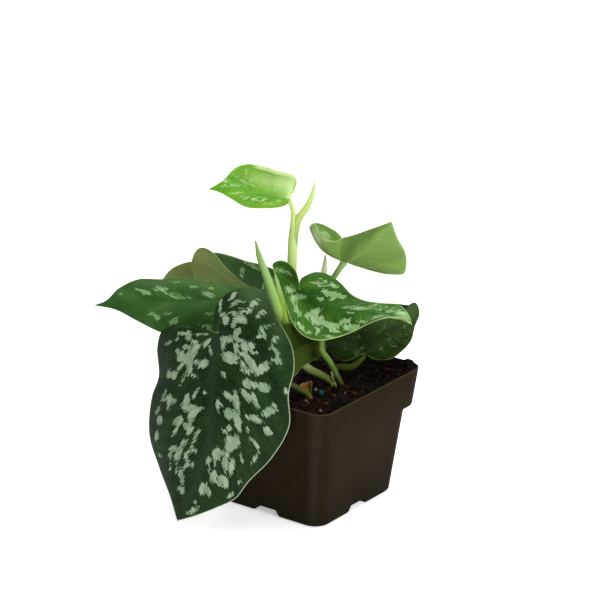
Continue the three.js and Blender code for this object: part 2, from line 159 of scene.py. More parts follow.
class Graph:
    """The node graph of one material, with a Principled shader at its end."""

    def __init__(self, name: str) -> None:
        """Starts a material.

        Args:
            name: the material's name.
        """
        self.material = bpy.data.materials.new(name)
        self.material.use_nodes = True
        self.tree = self.material.node_tree
        self.shader = self.tree.nodes["Principled BSDF"]

    def node(
        self,
        kind: str,
        settings: dict[str, object] | None = None,
        values: dict[str | int, object] | None = None,
    ) -> bpy.types.Node:
        """Adds a node.

        Args:
            kind: its type.
            settings: its own properties, set before its sockets.
            values: what goes into its inputs, by name or number: a value, a socket or a Shade.

        Returns:
            The node.
        """
        made = self.tree.nodes.new(kind)
        for key, value in (settings or {}).items():
            setattr(made, key, value)
        for key, value in (values or {}).items():
            self.feed(made.inputs[key], value)
        return made

    def feed(self, socket: bpy.types.NodeSocket, value: object) -> None:
        """Fills one input of a node.

        Args:
            socket: the input.
            value: the link or the value that it gets.
        """
        if isinstance(value, Shade):
            value = value.socket
        if isinstance(value, bpy.types.NodeSocket):
            self.tree.links.new(value, socket)
        elif isinstance(value, tuple) and socket.type == "RGBA":
            socket.default_value = (*value, 1.0)
        else:
            socket.default_value = value

    def place(self) -> bpy.types.NodeSocket:
        """Returns: the place on the object, in metres."""
        return self.node("ShaderNodeTexCoord").outputs["Object"]

    def axes(self, middle: np.ndarray) -> list[Shade]:
        """Measures from a place along each axis.

        Args:
            middle: the place, in millimetres.

        Returns:
            x, y and z from there, in metres.
        """
        settings = {"operation": "SUBTRACT"}
        moved = self.node("ShaderNodeVectorMath", settings, {0: self.place(), 1: tuple(middle * MM)})
        split = self.node("ShaderNodeSeparateXYZ", {}, {0: moved.outputs[0]})
        return [Shade(self, split.outputs[k]) for k in range(3)]

    def number(self, name: str) -> Shade:
        """Returns: a number that the mesh carries at each point."""
        return Shade(self, self.node("ShaderNodeAttribute", {"attribute_name": name}).outputs["Fac"])

    def vector(self, name: str) -> bpy.types.NodeSocket:
        """Returns: a vector that the mesh carries at each point."""
        return self.node("ShaderNodeAttribute", {"attribute_name": name}).outputs["Vector"]

    def scaled(self, place: bpy.types.NodeSocket, per_unit: Point) -> bpy.types.NodeSocket:
        """Returns: the coordinates, multiplied along each axis."""
        settings = {"operation": "MULTIPLY"}
        return self.node("ShaderNodeVectorMath", settings, {0: place, 1: per_unit}).outputs[0]

    def noise(self, place: bpy.types.NodeSocket, per_unit: Point, detail: float = 2.0) -> Shade:
        """Adds a noise whose grain has a size of its own along each axis.

        Args:
            place: the coordinates.
            per_unit: how many grains a unit holds, along each axis.
            detail: octaves of finer grain.

        Returns:
            The noise, round 0.5.
        """
        values = {"Vector": self.scaled(place, per_unit), "Scale": 1.0, "Detail": detail, "Roughness": 0.55}
        return Shade(self, self.node("ShaderNodeTexNoise", {}, values).outputs[0])

    def cells(self, place: bpy.types.NodeSocket, per_unit: Point) -> Shade:
        """Splits the surface into cells.

        Args:
            place: the coordinates.
            per_unit: how many cells a unit holds, along each axis.

        Returns:
            A random number for each cell, 0 to 1.
        """
        values = {"Vector": self.scaled(place, per_unit), "Scale": 1.0}
        middle = self.node("ShaderNodeTexVoronoi", {}, values).outputs["Position"]
        return Shade(self, self.node("ShaderNodeTexWhiteNoise", {}, {"Vector": middle}).outputs["Value"])

    def mix(self, share: Number, first: Source, second: Source) -> bpy.types.NodeSocket:
        """Returns: the colour that goes from first to second as share goes from 0 to 1."""
        node = self.node("ShaderNodeMix", {"data_type": "RGBA"}, {0: share, 6: first, 7: second})
        return node.outputs[2]

    def bump(self, height: Shade, depth: float) -> bpy.types.NodeSocket:
        """Args: height: 0 to 1. depth: its relief in millimetres. Returns: the normal."""
        values = {"Height": height, "Strength": 1.0, "Distance": depth * MM}
        return self.node("ShaderNodeBump", {}, values).outputs["Normal"]

    def finish(self, **inputs: object) -> bpy.types.Material:
        """Closes the graph.

        Args:
            inputs: what goes into the shader, with _ for a space.

        Returns:
            The material.
        """
        for key, value in inputs.items():
            self.feed(self.shader.inputs[key.replace("_", " ")], value)
        return self.material


# ---------------------------------------------------------------- finishes


@dataclass(frozen=True)
class LeafFinish:
    """The satin blade of one leaf: its green, its silver marks, its pale margin and its underside."""

    deep: Colour
    fresh: Colour
    silver: Colour
    sage: Colour
    margin: Colour
    under_deep: Colour
    under_fresh: Colour
    midrib: Colour
    # pale flush, and for some tones the colour of painted light where a lobe or strip is lit
    flush: Colour = paint(196, 220, 146)
    rough: float = 0.46
    gloss: float = 0.09

    def upper(self, name: str) -> bpy.types.Material:
        """The upper side and the rim: green between the veins, silver marks and a pale margin.

        Args:
            name: the material's name.

        Returns:
            The finish.
        """
        g = Graph(name)
        vein = g.vector("vein")
        rib, rim, mark = g.number("rib"), g.number("rim"), g.number("mark")
        broad = g.noise(vein, (0.05, 0.07, 0.1), 3).step(0.3, 0.72)
        streak = g.noise(vein, (0.035, 0.9, 0.5), 3)
        grain = g.noise(vein, (1.1, 2.6, 1.0), 2)
        mottle = g.noise(vein, (0.45, 0.55, 0.4), 3)
        age = broad * 0.7 + streak.step(0.35, 0.8) * 0.22 + mottle.step(0.5, 0.8) * 0.2
        green = g.mix(age, self.deep, self.fresh)
        green = g.mix(rib.step(4.0, 0.8) * 0.4, green, self.midrib)
        # pale flush, and on some leaves painted light where a lobe or strip is lit
        green = g.mix(g.number("flush"), green, self.flush)
        flecks = g.noise(vein, (0.85, 1.1, 0.8), 2).step(0.5, 0.64)
        green = g.mix(flecks * g.number("flecks"), green, self.silver)
        ragged = g.noise(vein, (0.5, 1.3, 0.6), 3) - 0.5
        patch = g.cells(vein, (0.5, 1.05, 1.0)) - 0.5
        silvered = (mark + patch * 1.3 + ragged * 1.8 + 0.12).step(-0.1, 0.14)
        silver = g.mix(g.noise(vein, (0.16, 0.2, 0.3), 2).step(0.35, 0.65), self.sage, self.silver)
        silver = g.mix(grain.step(0.62, 0.4) * 0.35, silver, self.fresh)
        colour = g.mix(silvered * rib.step(0.3, 1.3) * 0.95, green, silver)
        colour = g.mix(rim.step(0.7, 0.3) * g.number("edging") * 0.85, colour, self.margin)
        rough = silvered * 0.06 + (self.rough - 0.04) + grain * 0.08
        return self.skin(g, colour, rough, g.bump(streak * 0.5 + grain * 0.25 + silvered * 0.25, 0.18))

    def under(self, name: str) -> bpy.types.Material:
        """The underside: matt, paler, with faint veins.

        Args:
            name: the material's name.

        Returns:
            The finish.
        """
        g = Graph(name)
        vein = g.vector("vein")
        rib, rim = g.number("rib"), g.number("rim")
        broad = g.noise(vein, (0.05, 0.06, 0.1), 3).step(0.3, 0.7)
        streak = g.noise(vein, (0.03, 0.55, 0.5), 3)
        grain = g.noise(vein, (1.6, 2.2, 1.0), 2)
        colour = g.mix(broad * 0.6 + streak.step(0.3, 0.75) * 0.3, self.under_deep, self.under_fresh)
        colour = g.mix(rib.step(1.8, 0.5) * 0.06, colour, self.margin)
        # pale flush, and on some leaves painted light where a lobe or strip is lit
        colour = g.mix(g.number("flush"), colour, self.flush)
        colour = g.mix(rim.step(0.6, 0.25) * g.number("edging") * 0.6, colour, self.margin)
        return self.skin(g, colour, grain * 0.12 + self.rough, g.bump(streak * 0.7 + grain * 0.3, 0.2))

    def skin(self, g: Graph, colour: Source, rough: Shade, normal: Source) -> bpy.types.Material:
        """Closes either side with the thin flesh and the sheen that both share.

        Args:
            g: the side's graph.
            colour: its colour.
            rough: its roughness.
            normal: its relief.

        Returns:
            The finish.
        """
        return g.finish(
            Base_Color=colour,
            Roughness=rough,
            Normal=normal,
            Specular_IOR_Level=self.gloss,
            Subsurface_Weight=0.12,
            Subsurface_Radius=(0.6, 1.0, 0.3),
            Subsurface_Scale=0.8 * MM,
        )


def stops(*rows: tuple[float, int, int, int]) -> list[tuple[float, Colour]]:
    """Returns: shares of a length with their colours, from rows of a share, red, green and blue."""
    return [(share, paint(*shown)) for share, *shown in rows]


@dataclass(frozen=True)
class StemFinish:
    """A fleshy stem, from its foot in the soil to its tips."""

    stops: Sequence[tuple[float, Colour]]  # the share of the length that each colour is reached at
    scar: Colour = paint(96, 84, 44)
    rough: float = 0.5
    gloss: float = 0.08

    def material(self, name: str) -> bpy.types.Material:
        """Colours that follow the stem, with streaks along it and a few scars.

        Args:
            name: the material's name.

        Returns:
            The finish.
        """
        g = Graph(name)
        along = g.vector("along")
        share = g.number("share")
        streak = g.noise(along, (0.05, 1.5, 1.5), 3)
        grain = g.noise(along, (1.2, 3.0, 3.0), 2)
        blend = share + (streak - 0.5) * 0.08
        colour = self.stops[0][1]
        for (low, _), (high, paler) in zip(self.stops, self.stops[1:]):
            colour = g.mix(blend.step(low, high), colour, paler)
        colour = g.mix(streak.step(0.5, 0.8) * 0.25, colour, self.stops[-1][1])
        colour = g.mix(grain.step(0.62, 0.8) * 0.2, colour, self.scar)
        return g.finish(
            Base_Color=colour,
            Roughness=grain * 0.15 + self.rough,
            Normal=g.bump(streak * 0.7 + grain * 0.3, 0.15),
            Specular_IOR_Level=self.gloss,
            Subsurface_Weight=0.15,
            Subsurface_Radius=(0.7, 1.0, 0.3),
            Subsurface_Scale=1.0 * MM,
        )


@dataclass(frozen=True)
class HuskFinish:
    """A dried sheath: green at its root, rusty inside and pale where it is torn."""

    root: Colour = paint(62, 92, 16)
    rust: Colour = paint(92, 58, 16)
    torn: Colour = paint(120, 92, 70)
    rough: float = 0.6

    def material(self, name: str) -> bpy.types.Material:
        """Dry fibres along the sheath, and its torn edge.

        Args:
            name: the material's name.

        Returns:
            The finish.
        """
        g = Graph(name)
        high, edge = g.number("share"), g.number("edge")
        fibre = g.noise(g.vector("along"), (0.3, 2.2, 2.2), 3)
        grain = g.noise(g.place(), (1500.0, 1500.0, 1500.0), 2)
        colour = g.mix((high + (fibre - 0.5) * 0.2).step(0.3, 0.6), self.root, self.rust)
        colour = g.mix(fibre.step(0.5, 0.75) * 0.35, colour, self.torn)
        colour = g.mix((edge + (grain - 0.5) * 0.4).step(0.45, 0.85) * 0.9, colour, self.torn)
        return g.finish(
            Base_Color=colour,
            Roughness=fibre * 0.2 + self.rough,
            Normal=g.bump(fibre * 0.7 + grain * 0.3, 0.2),
            Specular_IOR_Level=0.08,
        )


@dataclass(frozen=True)
class PotPlastic:
    """Thin pressed plastic, satin, with fine haze and dust specks; painted highlights on its corners and
    rim, painted shade under its band and near its foot.
    """

    base: Colour = paint(31, 25, 14)
    haze: Colour = paint(43, 35, 22)
    dust: Colour = paint(60, 49, 34)
    # painted highlight: the colour of a light band near each corner
    painted_corner_highlight: Colour = paint(52, 48, 42)
    # painted highlight: the colour of the thin light line along the rim's top
    painted_rim_highlight: Colour = paint(84, 73, 57)
    # painted shade: darkens the rim band's lower edge and the pot towards its foot
    painted_shade: Colour = paint(14, 11, 8)
    rough: float = 0.44
    corner_highlight_turns: tuple[float, float, float, float] = (36.4, 40.6, 42.0, 46.4)  # painted highlight round each corner: start, full, fading and end, in degrees
    rim_highlight_heights: tuple[float, float] = (0.0736, 0.0739)  # painted highlight on the rim's top: heights in metres, as are the next two
    # painted shade on the rim band's lower edge: heights where it rises, is full, fades and ends
    under_band_shade: tuple[float, float, float, float] = (0.0510, 0.0513, 0.0522, 0.0530)
    # painted shade, darker towards the foot, below this height
    shade_below: float = 0.04

    def material(self) -> bpy.types.Material:
        """Haze and specks all over, a painted highlight at the corners and on the rim's top, and painted
        shade under the rim band and low down.

        Returns:
            The finish.
        """
        g = Graph("pot_plastic")
        place = g.place()
        cloud = g.noise(place, (35.0, 35.0, 22.0), 4)
        drawn = g.noise(place, (260.0, 260.0, 14.0), 3)
        grain = g.noise(place, (1400.0, 1400.0, 1400.0), 2)
        speck = g.noise(place, (520.0, 520.0, 520.0), 2)
        colour = g.mix(cloud.step(0.35, 0.75) * 0.5 + drawn.step(0.4, 0.8) * 0.25, self.base, self.haze)
        colour = g.mix(speck.step(0.66, 0.74) * 0.3, colour, self.dust)
        x, y, z = g.axes(CENTRE)
        turn = y.turned(x).left_over(math.pi / 2)
        first, full, fading, last = (math.radians(angle) for angle in self.corner_highlight_turns)
        # painted highlight: a pale band near each corner, where the corner would catch a light
        colour = g.mix(turn.step(first, full) * turn.step(last, fading) * 0.36, colour, self.painted_corner_highlight)
        # painted highlight: a thin pale line along the rim's top edge
        colour = g.mix(z.step(*self.rim_highlight_heights) * (cloud * 0.7 + 0.1), colour, self.painted_rim_highlight)
        low, dark, fading, high = self.under_band_shade
        # painted shade on the rim band's lower edge
        colour = g.mix(z.step(low, dark) * z.step(high, fading) * 0.45, colour, self.painted_shade)
        # painted shade: darker towards the foot
        colour = g.mix(z.step(self.shade_below, 0.0) * 0.25, colour, self.painted_shade)
        return g.finish(
            Base_Color=colour,
            Roughness=cloud * 0.16 + drawn * 0.08 + (self.rough - 0.1),
            Normal=g.bump(grain * 0.35 + drawn * 0.65, 0.05),
            Specular_IOR_Level=0.006,
        )


@dataclass(frozen=True)
class SoilFinish:
    """Moist potting mix. Each crumb has a tint of its own, from peat to bark to pale wood."""

    peat: Colour = paint(8, 5, 4)
    loam: Colour = paint(22, 13, 8)
    bark: Colour = paint(62, 33, 15)
    pale: Colour = paint(112, 96, 74)
    rough: float = 0.85

    def material(self, name: str) -> bpy.types.Material:
        """Crumbs by their tint, with lighter flecks.

        Args:
            name: the material's name.

        Returns:
            The finish.
        """
        g = Graph(name)
        place = g.place()
        tint = g.number("tint")
        lump = g.noise(place, (420.0, 420.0, 420.0), 4)
        fleck = g.noise(place, (900.0, 900.0, 900.0), 3)
        blend = tint + (lump - 0.5) * 0.5
        colour = g.mix(blend.step(0.0, 0.45), self.peat, self.loam)
        colour = g.mix(blend.step(0.45, 0.8), colour, self.bark)
        colour = g.mix(blend.step(0.85, 1.0), colour, self.pale)
        colour = g.mix(fleck.step(0.62, 0.72) * 0.35, colour, self.bark)
        return g.finish(
            Base_Color=colour,
            Roughness=fleck * 0.3 + (self.rough - 0.2),
            Normal=g.bump(lump * 0.6 + fleck * 0.4, 0.5),
            Specular_IOR_Level=0.04,
        )


@dataclass(frozen=True)
class BeadFinish:
    """The resin coat of a fertiliser bead, a little mottled, with specks of soil on it."""

    coat: Colour = paint(0, 44, 46)
    pale: Colour = paint(2, 66, 68)
    soil: Colour = paint(40, 28, 20)

    def material(self) -> bpy.types.Material:
        """A cloudy coat with specks of soil.

        Returns:
            The finish.
        """
        g = Graph("bead_coat")
        place = g.place()
        cloud = g.noise(place, (600.0, 600.0, 600.0), 3)
        speck = g.noise(place, (1500.0, 1500.0, 1500.0), 2)
        colour = g.mix(cloud.step(0.35, 0.7), self.coat, self.pale)
        colour = g.mix(speck.step(0.66, 0.72) * 0.8, colour, self.soil)
        return g.finish(
            Base_Color=colour,
            Roughness=speck * 0.3 + 0.3,
            Normal=g.bump(cloud, 0.1),
            Specular_IOR_Level=0.12,
        )


class Tone(Enum):
    """The leaves' finishes, by age and light."""

    DARK = LeafFinish(
        deep=paint(10, 31, 9),
        fresh=paint(31, 54, 22),
        silver=paint(162, 180, 152),
        sage=paint(128, 152, 124),
        margin=paint(176, 190, 164),
        under_deep=paint(92, 112, 60),
        under_fresh=paint(122, 142, 82),
        midrib=paint(38, 54, 38),
        # painted light: the colour of leaf_front's lit top lobe
        flush=paint(92, 122, 74),
        gloss=0.06,
    )
    MID = LeafFinish(
        deep=paint(36, 70, 27),
        fresh=paint(66, 100, 45),
        silver=paint(136, 168, 124),
        sage=paint(92, 134, 80),
        margin=paint(110, 146, 82),
        under_deep=paint(92, 118, 60),
        under_fresh=paint(124, 148, 84),
        midrib=paint(36, 74, 26),
        gloss=0.03,
    )
    BRIGHT = LeafFinish(
        deep=paint(34, 78, 16),
        flush=paint(164, 194, 140),
        fresh=paint(72, 116, 34),
        silver=paint(174, 202, 154),
        sage=paint(132, 168, 108),
        margin=paint(178, 204, 132),
        under_deep=paint(84, 112, 48),
        under_fresh=paint(112, 140, 72),
        midrib=paint(40, 92, 26),
    )
    OLIVE = LeafFinish(
        deep=paint(36, 66, 30),
        fresh=paint(64, 96, 46),
        silver=paint(150, 172, 130),
        sage=paint(112, 142, 96),
        margin=paint(130, 146, 88),
        under_deep=paint(98, 116, 58),
        under_fresh=paint(128, 144, 86),
        midrib=paint(52, 84, 42),
    )
    SHADED = LeafFinish(
        deep=paint(9, 24, 0),
        fresh=paint(34, 52, 10),
        flush=paint(84, 112, 62),
        silver=paint(78, 98, 62),
        sage=paint(46, 66, 34),
        margin=paint(88, 104, 60),
        under_deep=paint(37, 52, 11),
        under_fresh=paint(62, 80, 27),
        midrib=paint(22, 40, 14),
        rough=0.6,
        gloss=0.02,
    )
    FRESH = LeafFinish(
        deep=paint(66, 104, 34),
        fresh=paint(98, 136, 56),
        silver=paint(158, 184, 128),
        sage=paint(128, 158, 96),
        margin=paint(160, 186, 118),
        under_deep=paint(104, 138, 60),
        under_fresh=paint(126, 158, 80),
        midrib=paint(70, 112, 42),
        # painted light: the colour of the lit strip on leaf_upper_right's underside
        flush=paint(186, 208, 150),
    )
    LIME = LeafFinish(
        deep=paint(76, 136, 22),
        fresh=paint(122, 172, 48),
        silver=paint(176, 208, 142),
        sage=paint(150, 196, 108),
        margin=paint(186, 212, 128),
        under_deep=paint(150, 186, 90),
        under_fresh=paint(186, 210, 130),
        midrib=paint(96, 160, 44),
    )


# ---------------------------------------------------------------- shapes


class Curve:
    """A smooth centripetal curve through given points, measured by its own length."""

    DIVISIONS = 800  # of the curve, for measuring it

    def __init__(self, points: Sequence[Point]) -> None:
        """Measures the curve.

        Args:
            points: the places that it goes through; anything after x, y, z is left out.
        """
        self.points = np.array([p[:3] for p in points], float)
        self.steps = np.linspace(0, 1, self.DIVISIONS + 1)
        gaps = np.linalg.norm(np.diff(self.evaluate(self.steps), axis=0), axis=1)
        self.lengths = np.concatenate([[0], np.cumsum(gaps)])
        self.length = float(self.lengths[-1])

    def evaluate(self, steps: np.ndarray) -> np.ndarray:
        """Finds places by the points' own count.

        Args:
            steps: 0 to 1, with each stretch between two points as long as any other.

        Returns:
            The places there.
        """
        held = self.points
        padded = np.vstack([2 * held[0] - held[1], held, 2 * held[-1] - held[-2]])
        whole = steps * (len(held) - 1)
        span = np.minimum(whole.astype(int), len(held) - 2)
        w = (whole - span)[:, None]
        p0, p1, p2, p3 = (padded[span + k] for k in range(4))
        d0, d1, d2 = (
            np.sum((b - a) ** 2, axis=1)[:, None] ** 0.25 for a, b in ((p0, p1), (p1, p2), (p2, p3))
        )
        m1 = ((p1 - p0) / d0 - (p2 - p0) / (d0 + d1) + (p2 - p1) / d1) * d1
        m2 = ((p2 - p1) / d1 - (p3 - p1) / (d1 + d2) + (p3 - p2) / d2) * d1
        return p1 + m1 * w + (3 * (p2 - p1) - 2 * m1 - m2) * w**2 + (2 * (p1 - p2) + m1 + m2) * w**3

    def step_at(self, share: np.ndarray) -> np.ndarray:
        """Returns: the steps at shares of the length."""
        return np.interp(np.asarray(share) * self.length, self.lengths, self.steps)

    def at(self, share: np.ndarray) -> np.ndarray:
        """Returns: the places at shares of the length."""
        return self.evaluate(self.step_at(share))


@dataclass
class Shell:
    """A mesh in the making: points in millimetres, faces, finishes by face and numbers by point."""

    points: np.ndarray
    faces: list[tuple[int, ...]]
    finishes: np.ndarray | None = None
    numbers: dict[str, np.ndarray] = field(default_factory=dict)

    def build(self, name: str, *materials: bpy.types.Material) -> bpy.types.Object:
        """Makes the object in the part's frame.

        Args:
            name: the piece's name.
            materials: its finishes, in the order that the faces number them.

        Returns:
            The object.
        """
        mesh = bpy.data.meshes.new(name)
        mesh.from_pydata(((self.points + CENTRE) * MM).tolist(), [], self.faces)
        for material in materials:
            mesh.materials.append(material)
        if self.finishes is not None:
            mesh.polygons.foreach_set("material_index", self.finishes.astype(np.int32))
        mesh.polygons.foreach_set("use_smooth", np.ones(len(self.faces), bool))
        for key, values in self.numbers.items():
            kind, entry = ("FLOAT", "value") if values.ndim == 1 else ("FLOAT_VECTOR", "vector")
            attribute = mesh.attributes.new(key, kind, "POINT")
            attribute.data.foreach_set(entry, values.astype(np.float32).ravel())
        mesh.validate()
        made = bpy.data.objects.new(name, mesh)
        bpy.context.scene.collection.objects.link(made)
        return made


def joined(shells: Sequence[Shell]) -> Shell:
    """Joins several meshes.

    Args:
        shells: meshes that carry the same numbers.

    Returns:
        One mesh of them all.
    """
    starts = np.cumsum([0] + [len(s.points) for s in shells])
    faces = [tuple(k + start for k in f) for s, start in zip(shells, starts) for f in s.faces]
    numbers = {key: np.concatenate([s.numbers[key] for s in shells]) for key in shells[0].numbers}
    return Shell(np.vstack([s.points for s in shells]), faces, None, numbers)


def loft(rings: Sequence[np.ndarray]) -> Shell:
    """Closes a stack of rings, each anticlockwise seen against the way they go, with two caps.

    Args:
        rings: rings with the same number of points.

    Returns:
        The closed mesh.
    """
    sides = len(rings[0])
    points = np.vstack([*rings, rings[0].mean(0), rings[-1].mean(0)])
    bottom, top = len(points) - 2, len(points) - 1
    last = (len(rings) - 1) * sides
    faces: list[tuple[int, ...]] = []
    for s in range(sides):
        turn = (s + 1) % sides
        faces.append((bottom, turn, s))
        faces.append((top, last + s, last + turn))
        for start in range(0, last, sides):
            faces.append((start + s, start + turn, start + sides + turn, start + sides + s))
    return Shell(points, faces)


@dataclass
class Tube:
    """A round rod through points that each carry a radius."""

    path: Sequence[Point]
    sides: int = 20
    stretch: float = 1.2

    def shell(self) -> Shell:
        """Sweeps a ring along the path, without twist.

        Returns:
            The closed rod, with its own coordinates and share of the length at each point.
        """
        curve = Curve(self.path)
        count = max(6, round(curve.length / self.stretch))
        shares = np.linspace(0, 1, count + 1)
        centres = curve.at(shares)
        steps = curve.step_at(shares)
        radii = np.interp(steps * (len(self.path) - 1), range(len(self.path)), [p[3] for p in self.path])
        tangents = np.gradient(centres, axis=0)
        tangents /= np.linalg.norm(tangents, axis=1)[:, None]
        side = np.cross(tangents[0], (0.3, 0.5, 0.81))
        rings, around = [], np.arange(self.sides) * math.tau / self.sides
        for centre, tangent, radius in zip(centres, tangents, radii):
            side = side - tangent * (side @ tangent)
            side /= np.linalg.norm(side)
            other = np.cross(tangent, side)
            circle = np.outer(np.cos(around), side) + np.outer(np.sin(around), other)
            rings.append(centre + radius * circle)
        shell = loft(rings)
        lengths = np.repeat(shares * curve.length, self.sides)
        turns = np.tile(around, count + 1)
        radius = np.repeat(radii, self.sides)
        along = np.stack([lengths, radius * np.cos(turns), radius * np.sin(turns)], 1)
        along = np.vstack([along, (0, 0, 0), (curve.length, 0, 0)])
        share = np.concatenate([np.repeat(shares, self.sides), [0, 1]])
        shell.numbers = {"along": along, "share": share}
        return shell


def grain() -> tuple[np.ndarray, list[tuple[int, ...]]]:
    """Makes a round grain with 80 faces.

    Returns:
        Its points and its faces.
    """
    mesh = bmesh.new()
    bmesh.ops.create_icosphere(mesh, subdivisions=2, radius=1)
    points = np.array([v.co[:] for v in mesh.verts])
    faces = [tuple(v.index for v in f.verts) for f in mesh.faces]
    mesh.free()
    return points, faces


GRAIN_POINTS, GRAIN_FACES = grain()


def settle(piece: bpy.types.Object, slot: str, *nodes: str) -> bpy.types.Object:
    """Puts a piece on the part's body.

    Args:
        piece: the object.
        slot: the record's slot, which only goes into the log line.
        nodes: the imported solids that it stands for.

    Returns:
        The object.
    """
    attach(piece, BODY)
    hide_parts(*nodes)
    LOG.info("%s: %d faces, %s", piece.name, len(piece.data.polygons), slot)
    return piece


def carve(body: bpy.types.Object, tools: Sequence[bpy.types.Object]) -> None:
    """Cuts shapes from an object and then removes them.

    Args:
        body: the object that changes.
        tools: what is cut from it.
    """
    for tool in tools:
        step = body.modifiers.new("carve", "BOOLEAN")
        step.operation = "DIFFERENCE"
        step.solver = "EXACT"
        step.object = tool
    keep_modified(body)
    for tool in tools:
        bpy.data.objects.remove(tool)


def keep_modified(body: bpy.types.Object) -> None:
    """Makes an object's modifiers part of its mesh.

    Args:
        body: the object.
    """
    bpy.context.view_layer.update()
    graph = bpy.context.evaluated_depsgraph_get()
    made = bpy.data.meshes.new_from_object(body.evaluated_get(graph))
    body.modifiers.clear()
    body.data = made


def soften(body: bpy.types.Object, radius: float) -> None:
    """Rounds an object's sharp edges.

    Args:
        body: the object.
        radius: of the round, in millimetres.
    """
    bevel = body.modifiers.new("soften", "BEVEL")
    bevel.width = radius * MM
    bevel.segments = 3
    bevel.limit_method = "ANGLE"
    bevel.angle_limit = math.radians(ROUNDED_FROM)
    bevel.use_clamp_overlap = True
    keep_modified(body)
    body.data.polygons.foreach_set("use_smooth", np.ones(len(body.data.polygons), bool))
    body.data.set_sharp_from_angle(angle=math.radians(CREASED_FROM))


# ---------------------------------------------------------------- pot, soil and bead


@dataclass
class NurseryPot:
    """The square pot: a thin tapered shell with a wider rim band and four hollow feet."""

    width: float = 96.4
    height: float = 74
    wall: float = 1.2
    taper: float = 0.115
    rim_band: float = 22.8
    step: float = 3.15
    corner: float = 9
    channel_height: float = 4
    channel_top: float = 13
    channel_bottom: float = 18
    drain_hole: float = 7
    drain_reach: float = 24
    foot_round: float = 1.4
    edge_round: float = 0.45
    corner_steps: int = 14
    side_steps: int = 10
    pin_sides: int = 32
    finish: PotPlastic = PotPlastic()

    def half(self, z: float, in_band: bool) -> float:
        """Returns: half the outside width at height z, in the rim band or in the body below it."""
        return self.width / 2 - self.taper * (self.height - z) - (0 if in_band else self.step)

    def ring(self, half: float, corner: float, z: float) -> np.ndarray:
        """A rounded square, anticlockwise from above.

        Args:
            half: half its width.
            corner: the radius of its corners.
            z: its height.

        Returns:
            Its points.
        """
        places = []
        for quarter in range(4):
            turn = math.pi / 2 * quarter
            middle = (half - corner) * math.sqrt(2)
            cx, cy = middle * math.cos(turn + math.pi / 4), middle * math.sin(turn + math.pi / 4)
            for s in range(self.corner_steps + 1):
                angle = turn + math.pi / 2 * s / self.corner_steps
                places.append((cx + corner * math.cos(angle), cy + corner * math.sin(angle), z))
            reach = 2 * (half - corner)
            for s in range(1, self.side_steps):
                slide = reach * s / self.side_steps
                angle = turn + math.pi / 2
                x, y, _ = places[len(places) - s]
                places.append((x - slide * math.sin(angle), y + slide * math.cos(angle), z))
        return np.array(places)

    def rings(self, inset: float, profile: Sequence[tuple[float, float, bool]]) -> list[np.ndarray]:
        """Rings up the pot's outside, or the space inside it.

        Args:
            inset: how far inside the outside they lie.
            profile: height, extra inset and whether it is in the band, for each ring.

        Returns:
            The rings.
        """
        return [
            self.ring(self.half(z, band) - inset - extra, self.corner - inset - extra / 2, z)
            for z, extra, band in profile
        ]

    def channels(self, inset: float) -> list[bpy.types.Object]:
        """The two channels that cross under the floor.

        Args:
            inset: how far they grow all round.

        Returns:
            The channels, one along each axis.
        """
        low, high = self.channel_bottom / 2 + inset, self.channel_top / 2 + inset
        outline = [(-low, -1), (low, -1), (low, 0), (high, self.channel_height + inset)]
        outline += [(-high, self.channel_height + inset), (-low, 0)]
        ends = (self.width / 2, -self.width / 2)
        along = Shell(*self.prism([[(x, y, z) for x, z in outline] for y in ends]))
        across = Shell(along.points[:, [1, 0, 2]] * (-1, 1, 1), along.faces)
        return [along.build("channel_a"), across.build("channel_b")]

    @staticmethod
    def prism(ends: Sequence[Sequence[Point]]) -> tuple[np.ndarray, list[tuple[int, ...]]]:
        """A bar between two outlines.

        Args:
            ends: the outlines, with the same number of points.

        Returns:
            Its points and its faces.
        """
        sides = len(ends[0])
        faces = [tuple(range(sides))[::-1], tuple(range(sides, 2 * sides))]
        for s in range(sides):
            turn = (s + 1) % sides
            faces.append((s, turn, sides + turn, sides + s))
        return np.array([*ends[0], *ends[1]], float), faces

    def pin(self, x: float, y: float, radius: float, low: float, high: float) -> bpy.types.Object:
        """An upright round pin, for a hole.

        Args:
            x, y: its middle.
            radius: its radius.
            low, high: its two ends.

        Returns:
            The pin.
        """
        angles = np.arange(self.pin_sides) * math.tau / self.pin_sides
        circle = np.stack([x + radius * np.cos(angles), y + radius * np.sin(angles)], 1)
        rings = [np.column_stack([circle, np.full(self.pin_sides, z)]) for z in (low, high)]
        return loft(rings).build("pin")

    def build(self) -> bpy.types.Object:
        """Makes the outside, then cuts the inside, the channels and the drain holes.

        Returns:
            The pot.
        """
        shoulder = self.height - self.rim_band
        outside = [(0, self.foot_round, False), (0.4, 0.6, False), (self.foot_round, 0, False)]
        outside += [(shoulder - 1, 0, False), (shoulder, -0.5, False)]
        outside += [(shoulder + 0.3, 0.9, True), (shoulder + 0.7, 0.25, True), (shoulder + 1.5, 0, True)]
        outside += [(self.height, 0, True)]
        pot = loft(self.rings(0, outside)).build("nursery_pot")
        inner = shoulder + self.wall
        profile = [(self.wall, 0, False), (inner, 0, False), (inner + 0.5, 0, True)]
        profile += [(self.height + 1, 0, True)]
        inside = loft(self.rings(self.wall, profile)).build("inside")
        carve(inside, self.channels(self.wall))
        reach = self.drain_reach
        holes = [(0, 0), (reach, 0), (0, reach), (-reach, 0), (0, -reach)]
        pins = [self.pin(x, y, self.drain_hole / 2, 1, self.channel_height + 4) for x, y in holes]
        carve(pot, [inside, *self.channels(0), *pins])
        pot.data.materials.clear()
        pot.data.materials.append(self.finish.material())
        soften(pot, self.edge_round)
        return settle(pot, "pot_plastic", "pot")


